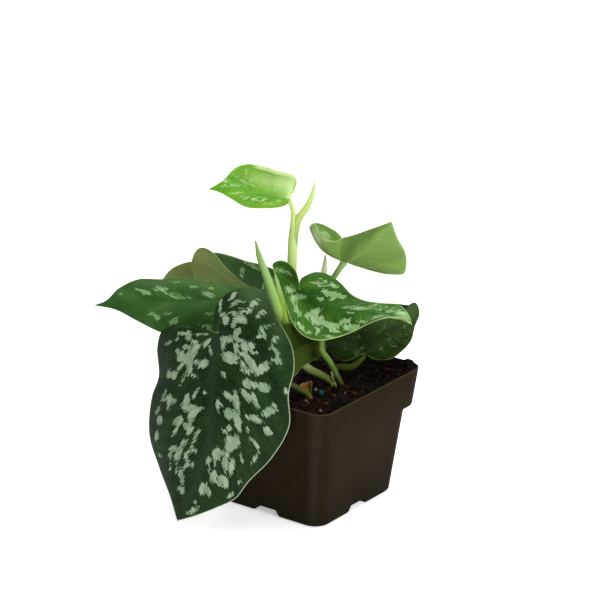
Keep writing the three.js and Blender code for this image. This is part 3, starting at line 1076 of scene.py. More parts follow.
# Pale flakes on the soil: x, y, how far they stand up, length, width and tint.
PLACED_CHIPS = [
    (16.6, -12.6, 0.4, 3.4, 1.6, 1.0), (21.2, -28.1, 0.4, 1.8, 1.3, 1.1), (23.6, -28.5, 0.4, 2.4, 1.0, 1.1),
    (39.2, -39.2, 1.6, 2.0, 1.6, 1.1), (32.8, -7.0, 0.4, 2.6, 1.1, 1.0), (36.9, -4.5, 0.2, 4.6, 2.6, 0.8),
    (30, -14, 0.2, 4.0, 2.2, 0.8), (1.7, 15.0, 0.3, 4.4, 2.2, 0.84), (27.4, 29.6, 0.3, 1.2, 0.9, 0.95),
    (27.7, 11.1, 0.2, 3.0, 1.6, 0.72), (34.9, 32.9, 0.3, 2.4, 1.4, 0.74), (38.4, 37.7, 0.3, 2.2, 1.4, 0.7),
    (41.7, 40.8, 0.2, 2.0, 1.4, 0.7), (14, -34, 0.2, 3.4, 1.8, 0.76), (33, -26, 0.2, 3.2, 1.8, 0.78),
]


@dataclass
class Soil:
    """The potting mix: a lumpy top between the pot's walls, with crumbs, bark and fibres on it."""

    pot: NurseryPot
    top: float = 70.5
    bump: float = 1.1
    heap: tuple[float, float] = (40.5, 45)
    heap_height: float = 5.4
    heap_spread: tuple[float, float] = (10.0, 6.0)
    rings: int = 80
    crumb_count: int = 520
    chip_count: int = 90
    fibre_count: int = 70
    finish: SoilFinish = SoilFinish()
    seed: int = 4

    def level(self, x: float, y: float) -> float:
        """The smooth surface: low waves and the heap in the corner.

        Args:
            x, y: the place.

        Returns:
            Its height there.
        """
        lumps = math.sin(0.21 * x + 1.3) * math.cos(0.17 * y - 0.4)
        lumps += 0.6 * math.sin(0.43 * x - 0.38 * y + 2.1)
        lumps += 0.4 * math.cos(0.61 * y + 0.29 * x)
        across = (x - self.heap[0]) / self.heap_spread[0]
        back = (y - self.heap[1]) / self.heap_spread[1]
        heaped = self.heap_height * math.exp(-across * across - back * back)
        return self.top + self.bump * lumps / 2 + heaped

    def surface(self, x: float, y: float) -> float:
        """The crumbly surface.

        Args:
            x, y: the place.

        Returns:
            Its height there.
        """
        big = noise.noise(Vector((x / 4.2, y / 4.2, 3.1)))
        mid = noise.noise(Vector((x / 1.7, y / 1.7, 8.4)))
        fine = noise.noise(Vector((x / 0.8, y / 0.8, 1.7)))
        return self.level(x, y) + 0.9 * big + 0.75 * abs(mid) + 0.35 * fine - 0.2

    def body(self) -> Shell:
        """The block of soil, before the channels are cut from it.

        Returns:
            The closed mesh.
        """
        inset = self.pot.wall + GAP
        shoulder = self.pot.height - self.pot.rim_band + inset + GAP
        profile = [(inset, 0, False), (shoulder, 0, False), (shoulder + 0.4, 0, True)]
        rings = self.pot.rings(inset, profile)
        full = self.pot.half(self.top, True) - inset + GAP / 2
        for r in range(self.rings, 0, -1):
            half = full * r / self.rings
            ring = self.pot.ring(half, min(self.pot.corner - inset, half * 0.9), 0)
            ring[:, 2] = [self.surface(x, y) for x, y, _ in ring]
            rings.append(ring)
        return loft(rings)

    def build(self) -> list[bpy.types.Object]:
        """Makes the block and what lies on it.

        Returns:
            The soil, its crumbs, its chips and its fibres.
        """
        material = self.finish.material("potting_soil")
        shell = self.body()
        shell.numbers["tint"] = np.array(
            [0.25 + 0.35 * noise.noise(Vector(p / 2.2)) for p in shell.points]
        )
        soil = shell.build("soil_bed", material)
        carve(soil, self.pot.channels(self.pot.wall + GAP))
        pieces = [settle(soil, "potting_soil", "soil")]
        rng = np.random.default_rng(self.seed)
        pieces.append(settle(joined(self.crumbs(rng)).build("soil_crumbs", material), "potting_soil"))
        pieces.append(settle(joined(self.chips(rng)).build("bark_chips", material), "potting_soil"))
        pieces.append(settle(joined(self.fibres(rng)).build("root_fibres", material), "potting_soil"))
        return pieces

    def spot(self, rng: np.random.Generator, margin: float) -> np.ndarray:
        """Draws a place on the soil.

        Args:
            rng: the random draws.
            margin: the least distance from the wall.

        Returns:
            The place, on the surface.
        """
        reach = self.pot.half(self.top, True) - self.pot.wall - margin
        while True:
            x, y = rng.uniform(-reach, reach, 2)
            if math.hypot(max(abs(x) - reach + 8, 0), max(abs(y) - reach + 8, 0)) < 8:
                return np.array([x, y, self.surface(x, y)])

    def lump(self, rng: np.random.Generator, place: np.ndarray, size: Point, tint: float) -> Shell:
        """One rough grain, turned at random.

        Args:
            rng: the random draws.
            place: its middle.
            size: its half sizes along its own axes, the last one upright.
            tint: its colour, from peat at 0 to pale wood at 1.

        Returns:
            The grain's mesh.
        """
        ball = GRAIN_POINTS * (1 + 0.28 * rng.standard_normal(len(GRAIN_POINTS)))[:, None]
        yaw, tip = rng.uniform(0, math.tau), rng.normal(0, 0.3)
        points = ball * size
        spin = np.array([[math.cos(yaw), -math.sin(yaw), 0], [math.sin(yaw), math.cos(yaw), 0], [0, 0, 1]])
        lean = np.array([[1, 0, 0], [0, math.cos(tip), -math.sin(tip)], [0, math.sin(tip), math.cos(tip)]])
        points = points @ lean.T @ spin.T + place
        return Shell(points, GRAIN_FACES, None, {"tint": np.full(len(points), tint)})

    def crumbs(self, rng: np.random.Generator) -> list[Shell]:
        """Strews small dark crumbs.

        Args:
            rng: the random draws.

        Returns:
            The crumbs.
        """
        made = []
        for _ in range(self.crumb_count):
            size = rng.uniform(0.35, 1.25) * rng.uniform(0.7, 1.3, 3)
            place = self.spot(rng, 1.6) + (0, 0, 0.25 * size[2])
            made.append(self.lump(rng, place, size, rng.choice([0.05, 0.25, 0.4, 0.55])))
        return made

    def chips(self, rng: np.random.Generator) -> list[Shell]:
        """Strews flakes of bark, and lays the pale ones at set places.

        Args:
            rng: the random draws.

        Returns:
            The flakes.
        """
        made = []
        for _ in range(self.chip_count):
            size = np.array([rng.uniform(1.0, 2.8), rng.uniform(0.5, 1.2), rng.uniform(0.2, 0.4)])
            place = self.spot(rng, 3.2) + (0, 0, 0.15)
            made.append(self.lump(rng, place, size, rng.choice([0.45, 0.55, 0.62, 0.74])))
        for x, y, rise, long, wide, tint in PLACED_CHIPS:
            place = np.array([x, y, self.surface(x, y) + rise])
            made.append(self.lump(rng, place, (long / 2, wide / 2, 0.5), tint))
        return made

    def fibres(self, rng: np.random.Generator) -> list[Shell]:
        """Lays thin curved root and peat fibres.

        Args:
            rng: the random draws.

        Returns:
            The fibres.
        """
        made = []
        for _ in range(self.fibre_count):
            start = self.spot(rng, 6)
            heading, bend = rng.uniform(0, math.tau), rng.normal(0, 0.5)
            length = rng.uniform(2.5, 5)
            path = [start - (0, 0, 0.4)]
            for k in range(1, 5):
                x = path[-1][0] + length / 4 * math.cos(heading + bend * k)
                y = path[-1][1] + length / 4 * math.sin(heading + bend * k)
                path.append(np.array([x, y, self.surface(x, y) + (0.35 if k < 4 else -0.3)]))
            tube = Tube([(*p, 0.16 - 0.02 * k) for k, p in enumerate(path)], sides=5, stretch=0.7).shell()
            made.append(Shell(tube.points, tube.faces, None, {"tint": np.full(len(tube.points), 0.7)}))
        return made


@dataclass
class FertiliserBead:
    """One coated bead, sunk a little into the soil."""

    soil: Soil
    centre: tuple[float, float] = (22.7, -16)
    radius: float = 1.8
    seat: float = 0.9  # how deep it is sunk
    dents: float = 0.03
    rows: int = 24
    sides: int = 36
    finish: BeadFinish = BeadFinish()

    def build(self) -> bpy.types.Object:
        """Makes a slightly dented ball.

        Returns:
            The bead.
        """
        x, y = self.centre
        middle = np.array([x, y, self.soil.top - self.seat + GAP + self.radius])
        rings = []
        turns = np.arange(self.sides) * math.tau / self.sides
        for k in range(1, self.rows):
            angle = math.pi * k / self.rows - math.pi / 2
            flat = self.radius * math.cos(angle)
            z = np.full(self.sides, self.radius * math.sin(angle))
            rings.append(np.stack([flat * np.cos(turns), flat * np.sin(turns), z], 1))
        shell = loft(rings)
        shell.points[-2:] = [(0, 0, -self.radius), (0, 0, self.radius)]
        swell = [1 + self.dents * noise.noise(Vector(p * 0.9)) for p in shell.points]
        shell.points = shell.points * np.array(swell)[:, None] + middle
        return settle(shell.build("coated_bead", self.finish.material()), "bead_coat", "fertiliser_bead")


# ---------------------------------------------------------------- stems


@dataclass
class Stem:
    """A leafy stem: its rods, joined in one piece."""

    node: str
    finishes: Sequence[StemFinish]
    branches: Sequence[Sequence[Point]]

    def build(self) -> bpy.types.Object:
        """Joins the rods. A rod with no finish of its own takes the last one.

        Returns:
            The stem.
        """
        shells = [Tube(branch).shell() for branch in self.branches]
        whole = joined(shells)
        last = len(self.finishes) - 1
        taken = [min(k, last) for k in range(len(shells))]
        whole.finishes = np.repeat(taken, [len(shell.faces) for shell in shells])
        looks = [look.material(f"{self.node}_{k}") for k, look in enumerate(self.finishes)]
        return settle(whole.build(self.node.replace("stem", "petiole"), *looks), "stem_green", self.node)


PALE_STEM = StemFinish(stops((0.0, 140, 162, 84), (0.5, 180, 202, 118), (1.0, 190, 214, 132)))
# a pale spur, painted paler still towards its tip as painted light against the shade that the leaf above
# casts on it
PALE_LIT_SPUR = StemFinish(stops((0.0, 190, 206, 126), (0.6, 232, 240, 184), (1.0, 252, 252, 224)))
SPEAR_STEM = StemFinish(stops(
    (0.05, 86, 58, 26), (0.13, 92, 104, 44), (0.2, 106, 126, 60), (0.29, 152, 168, 110),
    (0.5, 118, 144, 50), (0.66, 138, 172, 90), (0.82, 142, 178, 106), (1.0, 124, 154, 86),
))
SPEAR_FLAP = StemFinish(stops((0.0, 128, 154, 42), (0.45, 116, 148, 48), (1.0, 146, 174, 104)))
FADED_STUB = StemFinish(stops((0.0, 72, 74, 34), (0.5, 92, 104, 52), (1.0, 128, 138, 88)))
UPPER_STEM = StemFinish(stops((0.0, 84, 96, 48), (0.6, 122, 150, 78), (1.0, 146, 174, 104)))
CENTRE_STEM = StemFinish(stops(
    (0.12, 44, 52, 30), (0.26, 76, 98, 44), (0.42, 104, 128, 58), (1.0, 98, 124, 50),
))
FRONT_STEM = StemFinish(stops(
    (0.1, 112, 90, 54), (0.16, 68, 74, 24), (0.3, 58, 70, 18), (1.0, 56, 68, 26),
))
SHADED_STEM = StemFinish(stops((0.0, 64, 66, 24), (0.5, 62, 76, 26), (1.0, 92, 112, 48)))
# painted shade: a darker finish for the petiole that lies in deep shade
DEEP_SHADE_STEM = StemFinish(stops((0.0, 36, 44, 10), (0.5, 48, 58, 12), (1.0, 56, 70, 20)), gloss=0.03)

STEMS = [
    Stem("stem_front", [FRONT_STEM], [
        [
            (20, -23, 61, 1.5), (20, -23, 67, 1.5), (20, -23, 71.4, 1.5), (15.5, -25, 74.6, 1.7),
            (10, -29, 78.6, 1.7), (-1, -38, 87, 1.5), (-13, -45, 99, 1.4), (-17.6, -50, 107, 1.3),
            (-18.1, -53.9, 109.6, 1.2),
        ],
    ]),
    Stem("stem_left", [SHADED_STEM], [
        [
            (-18, -14, 61, 1.6), (-18, -14, 71, 1.6), (-22, -15, 88, 1.5), (-33, -13, 102, 1.4),
            (-41.6, -12.8, 108.4, 1.3), (-40.5, -14.5, 111.1, 1.2),
        ],
    ]),
    Stem("stem_back_left", [SHADED_STEM], [
        [
            (-30, 16, 61, 2.0), (-30, 16, 71, 2.0), (-31, 14, 85, 1.7), (-35, 10, 95, 1.4),
            (-37.6, 9.8, 100.6, 1.3), (-38.7, 10.7, 104, 1.2),
        ],
        [
            (-30, 16, 74, 1.6), (-36, 20, 88, 1.5), (-50, 27, 97, 1.4), (-63, 30, 95, 1.3),
            (-71, 29.6, 92.6, 1.3), (-72, 30.6, 95.9, 1.2),
        ],
    ]),
    Stem("stem_centre", [CENTRE_STEM, DEEP_SHADE_STEM], [
        [
            (23.2, 2.4, 61, 1.5), (23.2, 2.4, 71, 1.5), (21, 1.3, 76, 1.6), (18.4, 0.5, 81, 1.7),
            (16.8, -1, 85, 1.8), (13, -2.5, 91, 1.8), (12.5, -2, 96, 1.6), (8, 1, 104, 1.4),
            (3, 4, 112, 1.3), (-1.6, 6, 118.4, 1.3), (-3.7, 4.4, 120.8, 1.2), (-3.9, 1.6, 121.7, 1.1),
        ],
        [
            (19.4, 0.9, 79, 1.4), (18.4, 5.8, 79.4, 1.7), (19.4, 10.2, 77.7, 1.9), (20.9, 14.4, 77.1, 1.9),
            (22, 19, 78.2, 1.7), (23.2, 22.6, 80.4, 1.4), (23.9, 24.3, 81.8, 1.2),
        ],
    ]),
    Stem("stem_upper_right", [UPPER_STEM, PALE_LIT_SPUR], [
        [
            (-10, 24, 61, 1.8), (-10, 24, 71, 1.8), (-11, 23, 90, 1.7), (-8, 23, 104, 1.6),
            (-3, 24, 114, 1.6), (1, 24, 122, 1.7), (4.2, 24.2, 127, 1.7), (6.2, 25.6, 130.8, 1.9),
            (7.2, 26.8, 133, 2.3),
        ],
        [(-8, 23, 104, 1.4), (-7, 25, 114, 2.0), (-7, 27, 124, 1.9), (-7.9, 29.7, 133.4, 0.5)],
    ]),
    Stem("stem_young", [PALE_STEM], [
        [
            (-22, 15, 61, 2.7), (-22, 15, 71, 2.7), (-20, 13, 100, 2.7), (-19, 13, 129, 2.8),
            (-20, 15, 144, 2.6), (-20, 16, 154, 2.0), (-22, 18, 160, 1.4), (-23.3, 16.6, 166, 1.2),
        ],
        [
            (-19.6, 15.2, 139, 2.3), (-19.4, 15.8, 147, 2.4), (-18, 17.6, 155.6, 2.2), (-15, 21, 162, 1.9),
            (-14, 25, 168, 1.5), (-14, 27, 173, 0.8), (-14, 28, 176.5, 0.35),
        ],
    ]),
    Stem("stem_spear", [SPEAR_STEM, SPEAR_FLAP, FADED_STUB, SHADED_STEM], [
        [
            (20, -1, 61, 1.8), (20, -1, 67, 1.8), (20, -1, 71.8, 1.9), (17, -1, 73.6, 2.0),
            (11, -1, 75, 2.2), (2, -2, 78, 2.4), (-4, -3, 87, 2.6), (-6, -6, 96, 2.9),
            (-9.8, -8, 105, 3.0), (-12, -9, 110, 2.9), (-14.9, -9.6, 118, 2.7),
            (-19.6, -9.5, 129, 2.3), (-25.2, -9.1, 140, 1.7), (-28.3, -8.3, 148, 0.4),
        ],
        [
            (-6, -6, 97, 2.2), (-7, -8, 104.5, 2.7), (-10, -6.8, 109.5, 2.6), (-13.5, -4.6, 115.4, 2.1),
            (-15.9, -3.9, 120.3, 1.6), (-17.8, -2.6, 124.5, 1.2), (-19.3, -2.3, 128, 0.5),
        ],
        [(20, -1.4, 73, 1.1), (19.9, -1.7, 76.6, 0.8), (18.9, -1.3, 79, 0.3)],
        [(1, -2, 79, 1.5), (0, 2, 86, 1.3), (1.4, 4.8, 92, 1.2), (4.9, 3.6, 93.8, 1.1)],
    ]),
]


@dataclass
class Husk:
    """The dried sheath at the foot of the front stem: a thin torn cup that lies open on one side."""

    spine: Sequence[Point] = ((19.6, -22.8, 72.0, 0.9), (17.8, -22.1, 75.6, 2.7), (15.8, -21.4, 79.0, 4.2))
    open_to: Point = (0.56, -0.75, 0.35)
    half_turn: float = 1.9
    tears: float = 0.12
    corner_drop: float = 0.3
    thickness: float = 0.35
    axis_step: float = 0.05  # how far along the spine its direction is read
    rows: int = 18
    columns: int = 28
    finish: HuskFinish = HuskFinish()
    seed: int = 21

    def build(self) -> bpy.types.Object:
        """Wraps a thin sheet round the spine, open on one side and torn at its top.

        Returns:
            The sheath.
        """
        curve = Curve(self.spine)
        rng = np.random.default_rng(self.seed)
        turns = np.linspace(-1, 1, self.columns)
        top = 1 - self.tears * rng.random(self.columns) - self.corner_drop * np.abs(turns) ** 3
        away = -np.array(self.open_to)
        points, along, share, edge = [], [], [], []
        for side in (0, self.thickness):
            for row in np.linspace(0, 1, self.rows):
                for turn, reach in zip(turns, top):
                    step = row * reach
                    ends = (max(0.0, step - self.axis_step), step, min(1.0, step + self.axis_step))
                    before, centre, after = curve.at(ends)
                    axis = after - before
                    axis /= np.linalg.norm(axis)
                    back = away - axis * (away @ axis)
                    back /= np.linalg.norm(back)
                    angle = turn * self.half_turn
                    out = math.cos(angle) * back + math.sin(angle) * np.cross(axis, back)
                    radius = np.interp(step, (0, 0.5, 1), [p[3] for p in self.spine]) - side
                    points.append(centre + radius * out)
                    along.append((step * curve.length, radius * angle, 0))
                    share.append(step)
                    edge.append(max(row**4, 0.5 * abs(turn) ** 8))
        shell = Shell(np.array(points), self.skin())
        shell.numbers = {"along": np.array(along, float), "share": np.array(share), "edge": np.array(edge)}
        return settle(shell.build("dry_sheath", self.finish.material("dry_sheath")), "stem_green")

    def skin(self) -> list[tuple[int, ...]]:
        """Closes the sheet: outside first, then inside, then its border.

        Returns:
            Its faces.
        """
        wide, count = self.columns, self.rows * self.columns
        cells = [(r * wide + c, r * wide + c + 1) for r in range(self.rows - 1) for c in range(wide - 1)]
        outer = [(a, b, b + wide, a + wide) for a, b in cells]
        faces = outer + [tuple(k + count for k in f[::-1]) for f in outer]
        edges = {(f[k], f[(k + 1) % 4]) for f in outer for k in range(4)}
        faces += [(b, a, a + count, b + count) for a, b in sorted(edges) if (b, a) not in edges]
        return faces


# ---------------------------------------------------------------- leaves


@dataclass
class Blade:
    """The middle surface of a leaf as a fine grid, with what each point knows of its place."""

    points: np.ndarray
    faces: list[tuple[int, ...]]
    vein: np.ndarray  # along its vein and across the veins, in millimetres, and a number for its side
    sweep: np.ndarray  # the same, with the veins swept towards the tip
    row: np.ndarray  # share of its half, from the joint to the tip
    reach: np.ndarray  # share of its vein, from the midrib to the margin
    side: np.ndarray  # -1 left, 1 right, 0 on the midrib

    def normals(self) -> np.ndarray:
        """Finds the upper side's direction from the faces round each point.

        Returns:
            A unit vector for each point.
        """
        total = np.zeros_like(self.points)
        for count in (3, 4):
            faces = np.array([f for f in self.faces if len(f) == count])
            corners = self.points[faces]
            area = np.cross(corners[:, -1] - corners[:, 1], corners[:, 0] - corners[:, 2])
            if count == 3:
                area = np.cross(corners[:, 1] - corners[:, 0], corners[:, 2] - corners[:, 0])
            for k in range(count):
                np.add.at(total, faces[:, k], area)
        return total / np.linalg.norm(total, axis=1)[:, None]

    def border(self) -> list[tuple[int, int]]:
        """Returns: the edges that only one face has, as that face turns."""
        edges = {(f[k], f[(k + 1) % len(f)]) for f in self.faces for k in range(len(f))}
        return sorted((a, b) for a, b in edges if (b, a) not in edges)


def distance_to(line: np.ndarray, points: np.ndarray) -> np.ndarray:
    """Measures from points to a line.

    Args:
        line: places along the line.
        points: where to measure from.

    Returns:
        The distance from each point to the nearest of the places.
    """
    tree = KDTree(len(line))
    for k, place in enumerate(line):
        tree.insert(place, k)
    tree.balance()
    return np.array([tree.find(p)[2] for p in points])


class Side(IntEnum):
    """The halves of a blade, seen from above with its tip pointing away."""

    LEFT = -1
    RIGHT = 1


Mark = tuple[float, float, float, float, float]
OUTSIDE = -3.0  # what a point far from every mark holds, in millimetres
HAIR = 0.01  # the least width of a fold, in millimetres
SIDE_SHIFT = 6.0  # keeps the grain of one half apart from that of the other, in millimetres


class Wash(NamedTuple):
    """A soft patch of one half: its middle along its vein and across the veins, its reach, its strength."""

    side: Side
    along: float
    across: float
    length: float
    width: float
    strength: float


@dataclass
class Leaf:
    """One blade. It hangs on its midrib, from the stem's joint to the tip, and on two margins.

    A margin leaves the joint round a lobe and ends at the tip. arch lifts the middle of a half
    towards the upper side, and lobe is the share of a margin that the joint's own veins feed. A
    mark is a silver patch: how far along its vein and across the veins it lies, its length and
    width, all in millimetres, and its turn from the vein in degrees. strewn adds some at random,
    at mark_size times their usual size. edging is how far the margin's pale line shows, on the
    left lobe, the left blade, the right lobe and the right blade. flushed_and_lit are its pale
    patches, and on some leaves painted light where a lobe or strip is lit; flecked are its
    speckled patches, and fold is the width of the pale band where a margin folds over.
    """

    node: str
    tone: Tone
    slot: str
    midrib: Sequence[Point]
    left: Sequence[Point]
    right: Sequence[Point]
    arch: tuple[float, float]
    lobe: tuple[float, float]
    left_marks: Sequence[Mark] = ()
    right_marks: Sequence[Mark] = ()
    strewn: tuple[int, int] = (0, 0)
    seed: int = 1
    thickness: float = 0.8
    cell: float = 0.8
    slant: float = 1.1  # how far the grain leans towards the tip
    thin_edge: tuple[float, float] = (0.35, 1.6)  # share of the thickness left, and from how far in
    groove: tuple[float, float] = (0.32, 0.9)  # over the midrib: depth and width
    ridge: tuple[float, float] = (0.45, 1.3)  # under the midrib: height and width
    ripple: tuple[float, float] = (0.12, 7.5)  # over the veins: height and spacing
    mark_size: float = 1.0
    edging: tuple[float, float, float, float] = (1.0, 1.0, 1.0, 1.0)
    # pale patches, and on some leaves painted light where a lobe or strip is lit
    flushed_and_lit: Sequence[Wash] = ()
    flecked: Sequence[Wash] = ()
    fold: float = 0.0

    def edges(self) -> dict[Side, Curve]:
        """Runs the two margins from the joint to the tip.

        Returns:
            The margins, by side.
        """
        ends = self.midrib[0], self.midrib[-1]
        margins = ((Side.LEFT, self.left), (Side.RIGHT, self.right))
        return {side: Curve([ends[0], *held, ends[1]]) for side, held in margins}

    def half(self, side: Side, margin: Curve, ribs: np.ndarray, grid: dict[str, list]) -> np.ndarray:
        """Adds one half of the blade to the grid.

        Args:
            side: which half.
            margin: its edge.
            ribs: the midrib's places.
            grid: the lists that grow.

        Returns:
            How far across the veins each of its rows lies.
        """
        pick = 0 if side is Side.LEFT else 1
        share = self.lobe[pick]
        blade_rows = len(ribs) - 1
        lobe_rows = round(margin.length * share / self.cell)
        rows = lobe_rows + blade_rows
        first = share * np.arange(lobe_rows + 1) / lobe_rows
        rest = share + (1 - share) * np.arange(1, blade_rows + 1) / blade_rows
        edge = margin.at(np.concatenate([first, rest]))
        starts = ribs[np.maximum(0, np.arange(rows + 1) - lobe_rows)]
        loop = np.vstack([edge, ribs[1:-1][::-1]])
        upper = np.cross(loop, np.roll(loop, -1, axis=0)).sum(0) * side
        upper /= np.linalg.norm(upper)
        spans = np.linalg.norm(edge - starts, axis=1)
        rises = self.arch[pick] * spans / spans.max()
        moves = [np.linalg.norm(np.diff(line, axis=0), axis=1) for line in (edge, starts)]
        across = np.concatenate([[0], np.cumsum(moves[0] + moves[1])]) / 2
        steps = round(spans.max() / self.cell)
        reach = np.arange(1, steps + 1) / steps
        lift = np.sin(np.pi * reach)[:, None] * upper
        apart = np.full(steps, SIDE_SHIFT * side)
        ids = [[0] * (steps + 1)]
        for i in range(1, rows):
            start = len(grid["points"])
            ids.append([max(0, i - lobe_rows), *range(start, start + steps)])
            grid["points"].extend(starts[i] + (edge[i] - starts[i]) * reach[:, None] + lift * rises[i])
            grid["vein"].extend(np.stack([reach * spans[i], np.full(steps, across[i]), apart], 1))
            grid["row"].extend([i / rows] * steps)
            grid["reach"].extend(reach)
            grid["side"].extend([side] * steps)
        ids.append([blade_rows] * (steps + 1))
        for i in range(rows):
            for j in range(steps):
                corners = [ids[i][j], ids[i][j + 1], ids[i + 1][j + 1], ids[i + 1][j]]
                corners = list(dict.fromkeys(corners if side is Side.RIGHT else corners[::-1]))
                if len(corners) > 2:
                    grid["faces"].append(tuple(corners))
        return across[lobe_rows:]

    def grid(self) -> tuple[Blade, np.ndarray]:
        """Lays the midrib and then the two halves.

        Returns:
            The blade's grid and the midrib's places.
        """
        midrib = Curve(self.midrib)
        ribs = midrib.at(np.linspace(0, 1, round(midrib.length / self.cell) + 1))
        count = len(ribs)
        grid = {"points": list(ribs), "vein": list(np.zeros((count, 3))), "faces": []}
        grid |= {"row": list(np.linspace(0, 1, count)), "reach": [0.0] * count, "side": [0] * count}
        across = [self.half(side, margin, ribs, grid) for side, margin in self.edges().items()]
        faces = grid.pop("faces")
        arrays = {key: np.array(values, float) for key, values in grid.items()}
        arrays["vein"][:count, 1] = (across[0] + across[1]) / 2
        arrays["sweep"] = arrays["vein"] - np.outer(arrays["vein"][:, 0], (0, self.slant, 0))
        return Blade(faces=faces, **arrays), ribs

    def marks(self, blade: Blade, side: Side, rng: np.random.Generator) -> list[Mark]:
        """Gathers the silver marks of one half.

        Args:
            blade: the grid.
            side: which half.
            rng: the random draws.

        Returns:
            The placed marks, then the strewn ones.
        """
        left = side is Side.LEFT
        made = list(self.left_marks if left else self.right_marks)
        inner = (blade.side == side) & (blade.reach > 0.2) & (blade.reach < 0.86)
        inner &= (blade.row > 0.1) & (blade.row < 0.9)
        places = blade.vein[inner]
        for _ in range(self.strewn[0 if left else 1]):
            along, across, _ = places[rng.integers(len(places))]
            length = rng.uniform(3, 8) * self.mark_size
            width = rng.uniform(1.6, 3.6) * self.mark_size
            made.append((along, across, length, width, rng.uniform(-10, 80)))
        return made

    def silver(self, blade: Blade) -> np.ndarray:
        """Measures how the marks cover the blade.

        Args:
            blade: the grid.

        Returns:
            How far inside a mark's outline each point is, in millimetres.
        """
        rng = np.random.default_rng(self.seed)
        shown = np.full(len(blade.points), OUTSIDE)
        for side in Side:
            here = blade.side != -side
            for along, across, length, width, turn in self.marks(blade, side, rng):
                x, y = blade.vein[:, 0] - along, blade.vein[:, 1] - across
                c, s = math.cos(math.radians(turn)), math.sin(math.radians(turn))
                far = np.hypot((x * c + y * s) / (length / 2), (y * c - x * s) / (width / 2))
                inside = np.maximum((1 - far) * width / 2, OUTSIDE)
                shown = np.where(here, np.maximum(shown, inside), shown)
        return shown

    def washed(self, blade: Blade, washes: Sequence[Wash]) -> np.ndarray:
        """Adds up soft patches.

        Args:
            blade: the grid.
            washes: the patches.

        Returns:
            How strongly they cover each point.
        """
        total = np.zeros(len(blade.points))
        for wash in washes:
            far = ((blade.vein[:, 0] - wash.along) / wash.length) ** 2
            far += ((blade.vein[:, 1] - wash.across) / wash.width) ** 2
            total += np.where(blade.side != -wash.side, wash.strength * np.exp(-2 * far), 0)
        return total

    def folded(self, blade: Blade, rim: np.ndarray) -> np.ndarray:
        """Shows the turned margin of the right half.

        Args:
            blade: the grid.
            rim: the distance from the margin.

        Returns:
            How strongly its pale band covers each point.
        """
        near = 1 - smoothstep(0.85, 1.05, rim / max(self.fold, HAIR))
        return np.where(blade.side == Side.RIGHT, 0.9 * near * (1 - smoothstep(0.52, 0.6, blade.row)), 0)

    def edged(self, blade: Blade) -> np.ndarray:
        """Fades the margin's pale line from the lobes to the blade.

        Args:
            blade: the grid.

        Returns:
            How far the line shows at each point.
        """
        shown = np.ones(len(blade.points))
        ends = (self.edging[:2], self.edging[2:])
        for side, (first, last), lobe in zip(Side, ends, self.lobe):
            blend = smoothstep(lobe - 0.1, lobe + 0.2, blade.row)
            shown = np.where(blade.side == side, first + (last - first) * blend, shown)
        return shown

    def skins(self, blade: Blade, rib: np.ndarray, rim: np.ndarray) -> list[np.ndarray]:
        """Thickens the blade, thin at its margin, with a groove over and a ridge under the midrib.

        Args:
            blade: the grid.
            rib: the distance from the midrib.
            rim: the distance from the margin.

        Returns:
            The upper and the lower skin.
        """
        tapered = 1 - 0.75 * blade.row
        groove, ridge = (
            height * np.exp(-((rib / width) ** 2)) * tapered for height, width in (self.groove, self.ridge)
        )
        height, spacing = self.ripple
        ripple = height * np.sin(blade.vein[:, 1] * math.tau / spacing) * np.sin(math.pi * blade.reach)
        least, reach = self.thin_edge
        half = self.thickness / 2 * (least + (1 - least) * smoothstep(0, reach, rim))
        above, below = half - groove + ripple, half + ridge - ripple
        normals = blade.normals()
        return [blade.points + normals * above[:, None], blade.points - normals * below[:, None]]

    def build(self) -> bpy.types.Object:
        """Closes the two skins with a rim and dresses them.

        Returns:
            The leaf.
        """
        blade, ribs = self.grid()
        rib = distance_to(ribs, blade.points)
        edges = [margin.at(np.linspace(0, 1, 600)) for margin in self.edges().values()]
        rim = distance_to(np.vstack(edges), blade.points)
        skins = self.skins(blade, rib, rim)
        count = len(blade.points)
        faces = list(blade.faces)
        faces += [tuple(k + count for k in f[::-1]) for f in blade.faces]
        faces += [(b, a, a + count, b + count) for a, b in blade.border()]
        finishes = np.zeros(len(faces))
        finishes[len(blade.faces) : 2 * len(blade.faces)] = 1
        numbers = {"vein": blade.sweep, "rib": rib, "rim": rim, "mark": self.silver(blade)}
        numbers["flush"] = np.clip(self.washed(blade, self.flushed_and_lit) + self.folded(blade, rim), 0, 0.9)
        numbers["flecks"] = np.clip(self.washed(blade, self.flecked) + 0.03, 0, 0.9)
        numbers["edging"] = self.edged(blade)
        doubled = {key: np.concatenate([values, values]) for key, values in numbers.items()}
        look = self.tone.value
        materials = (look.upper(self.node + "_upper"), look.under(self.node + "_under"))
        shell = Shell(np.vstack(skins), faces, finishes, doubled)
        piece = shell.build(self.node.replace("leaf", "blade"), *materials)
        return settle(piece, self.slot, self.node)


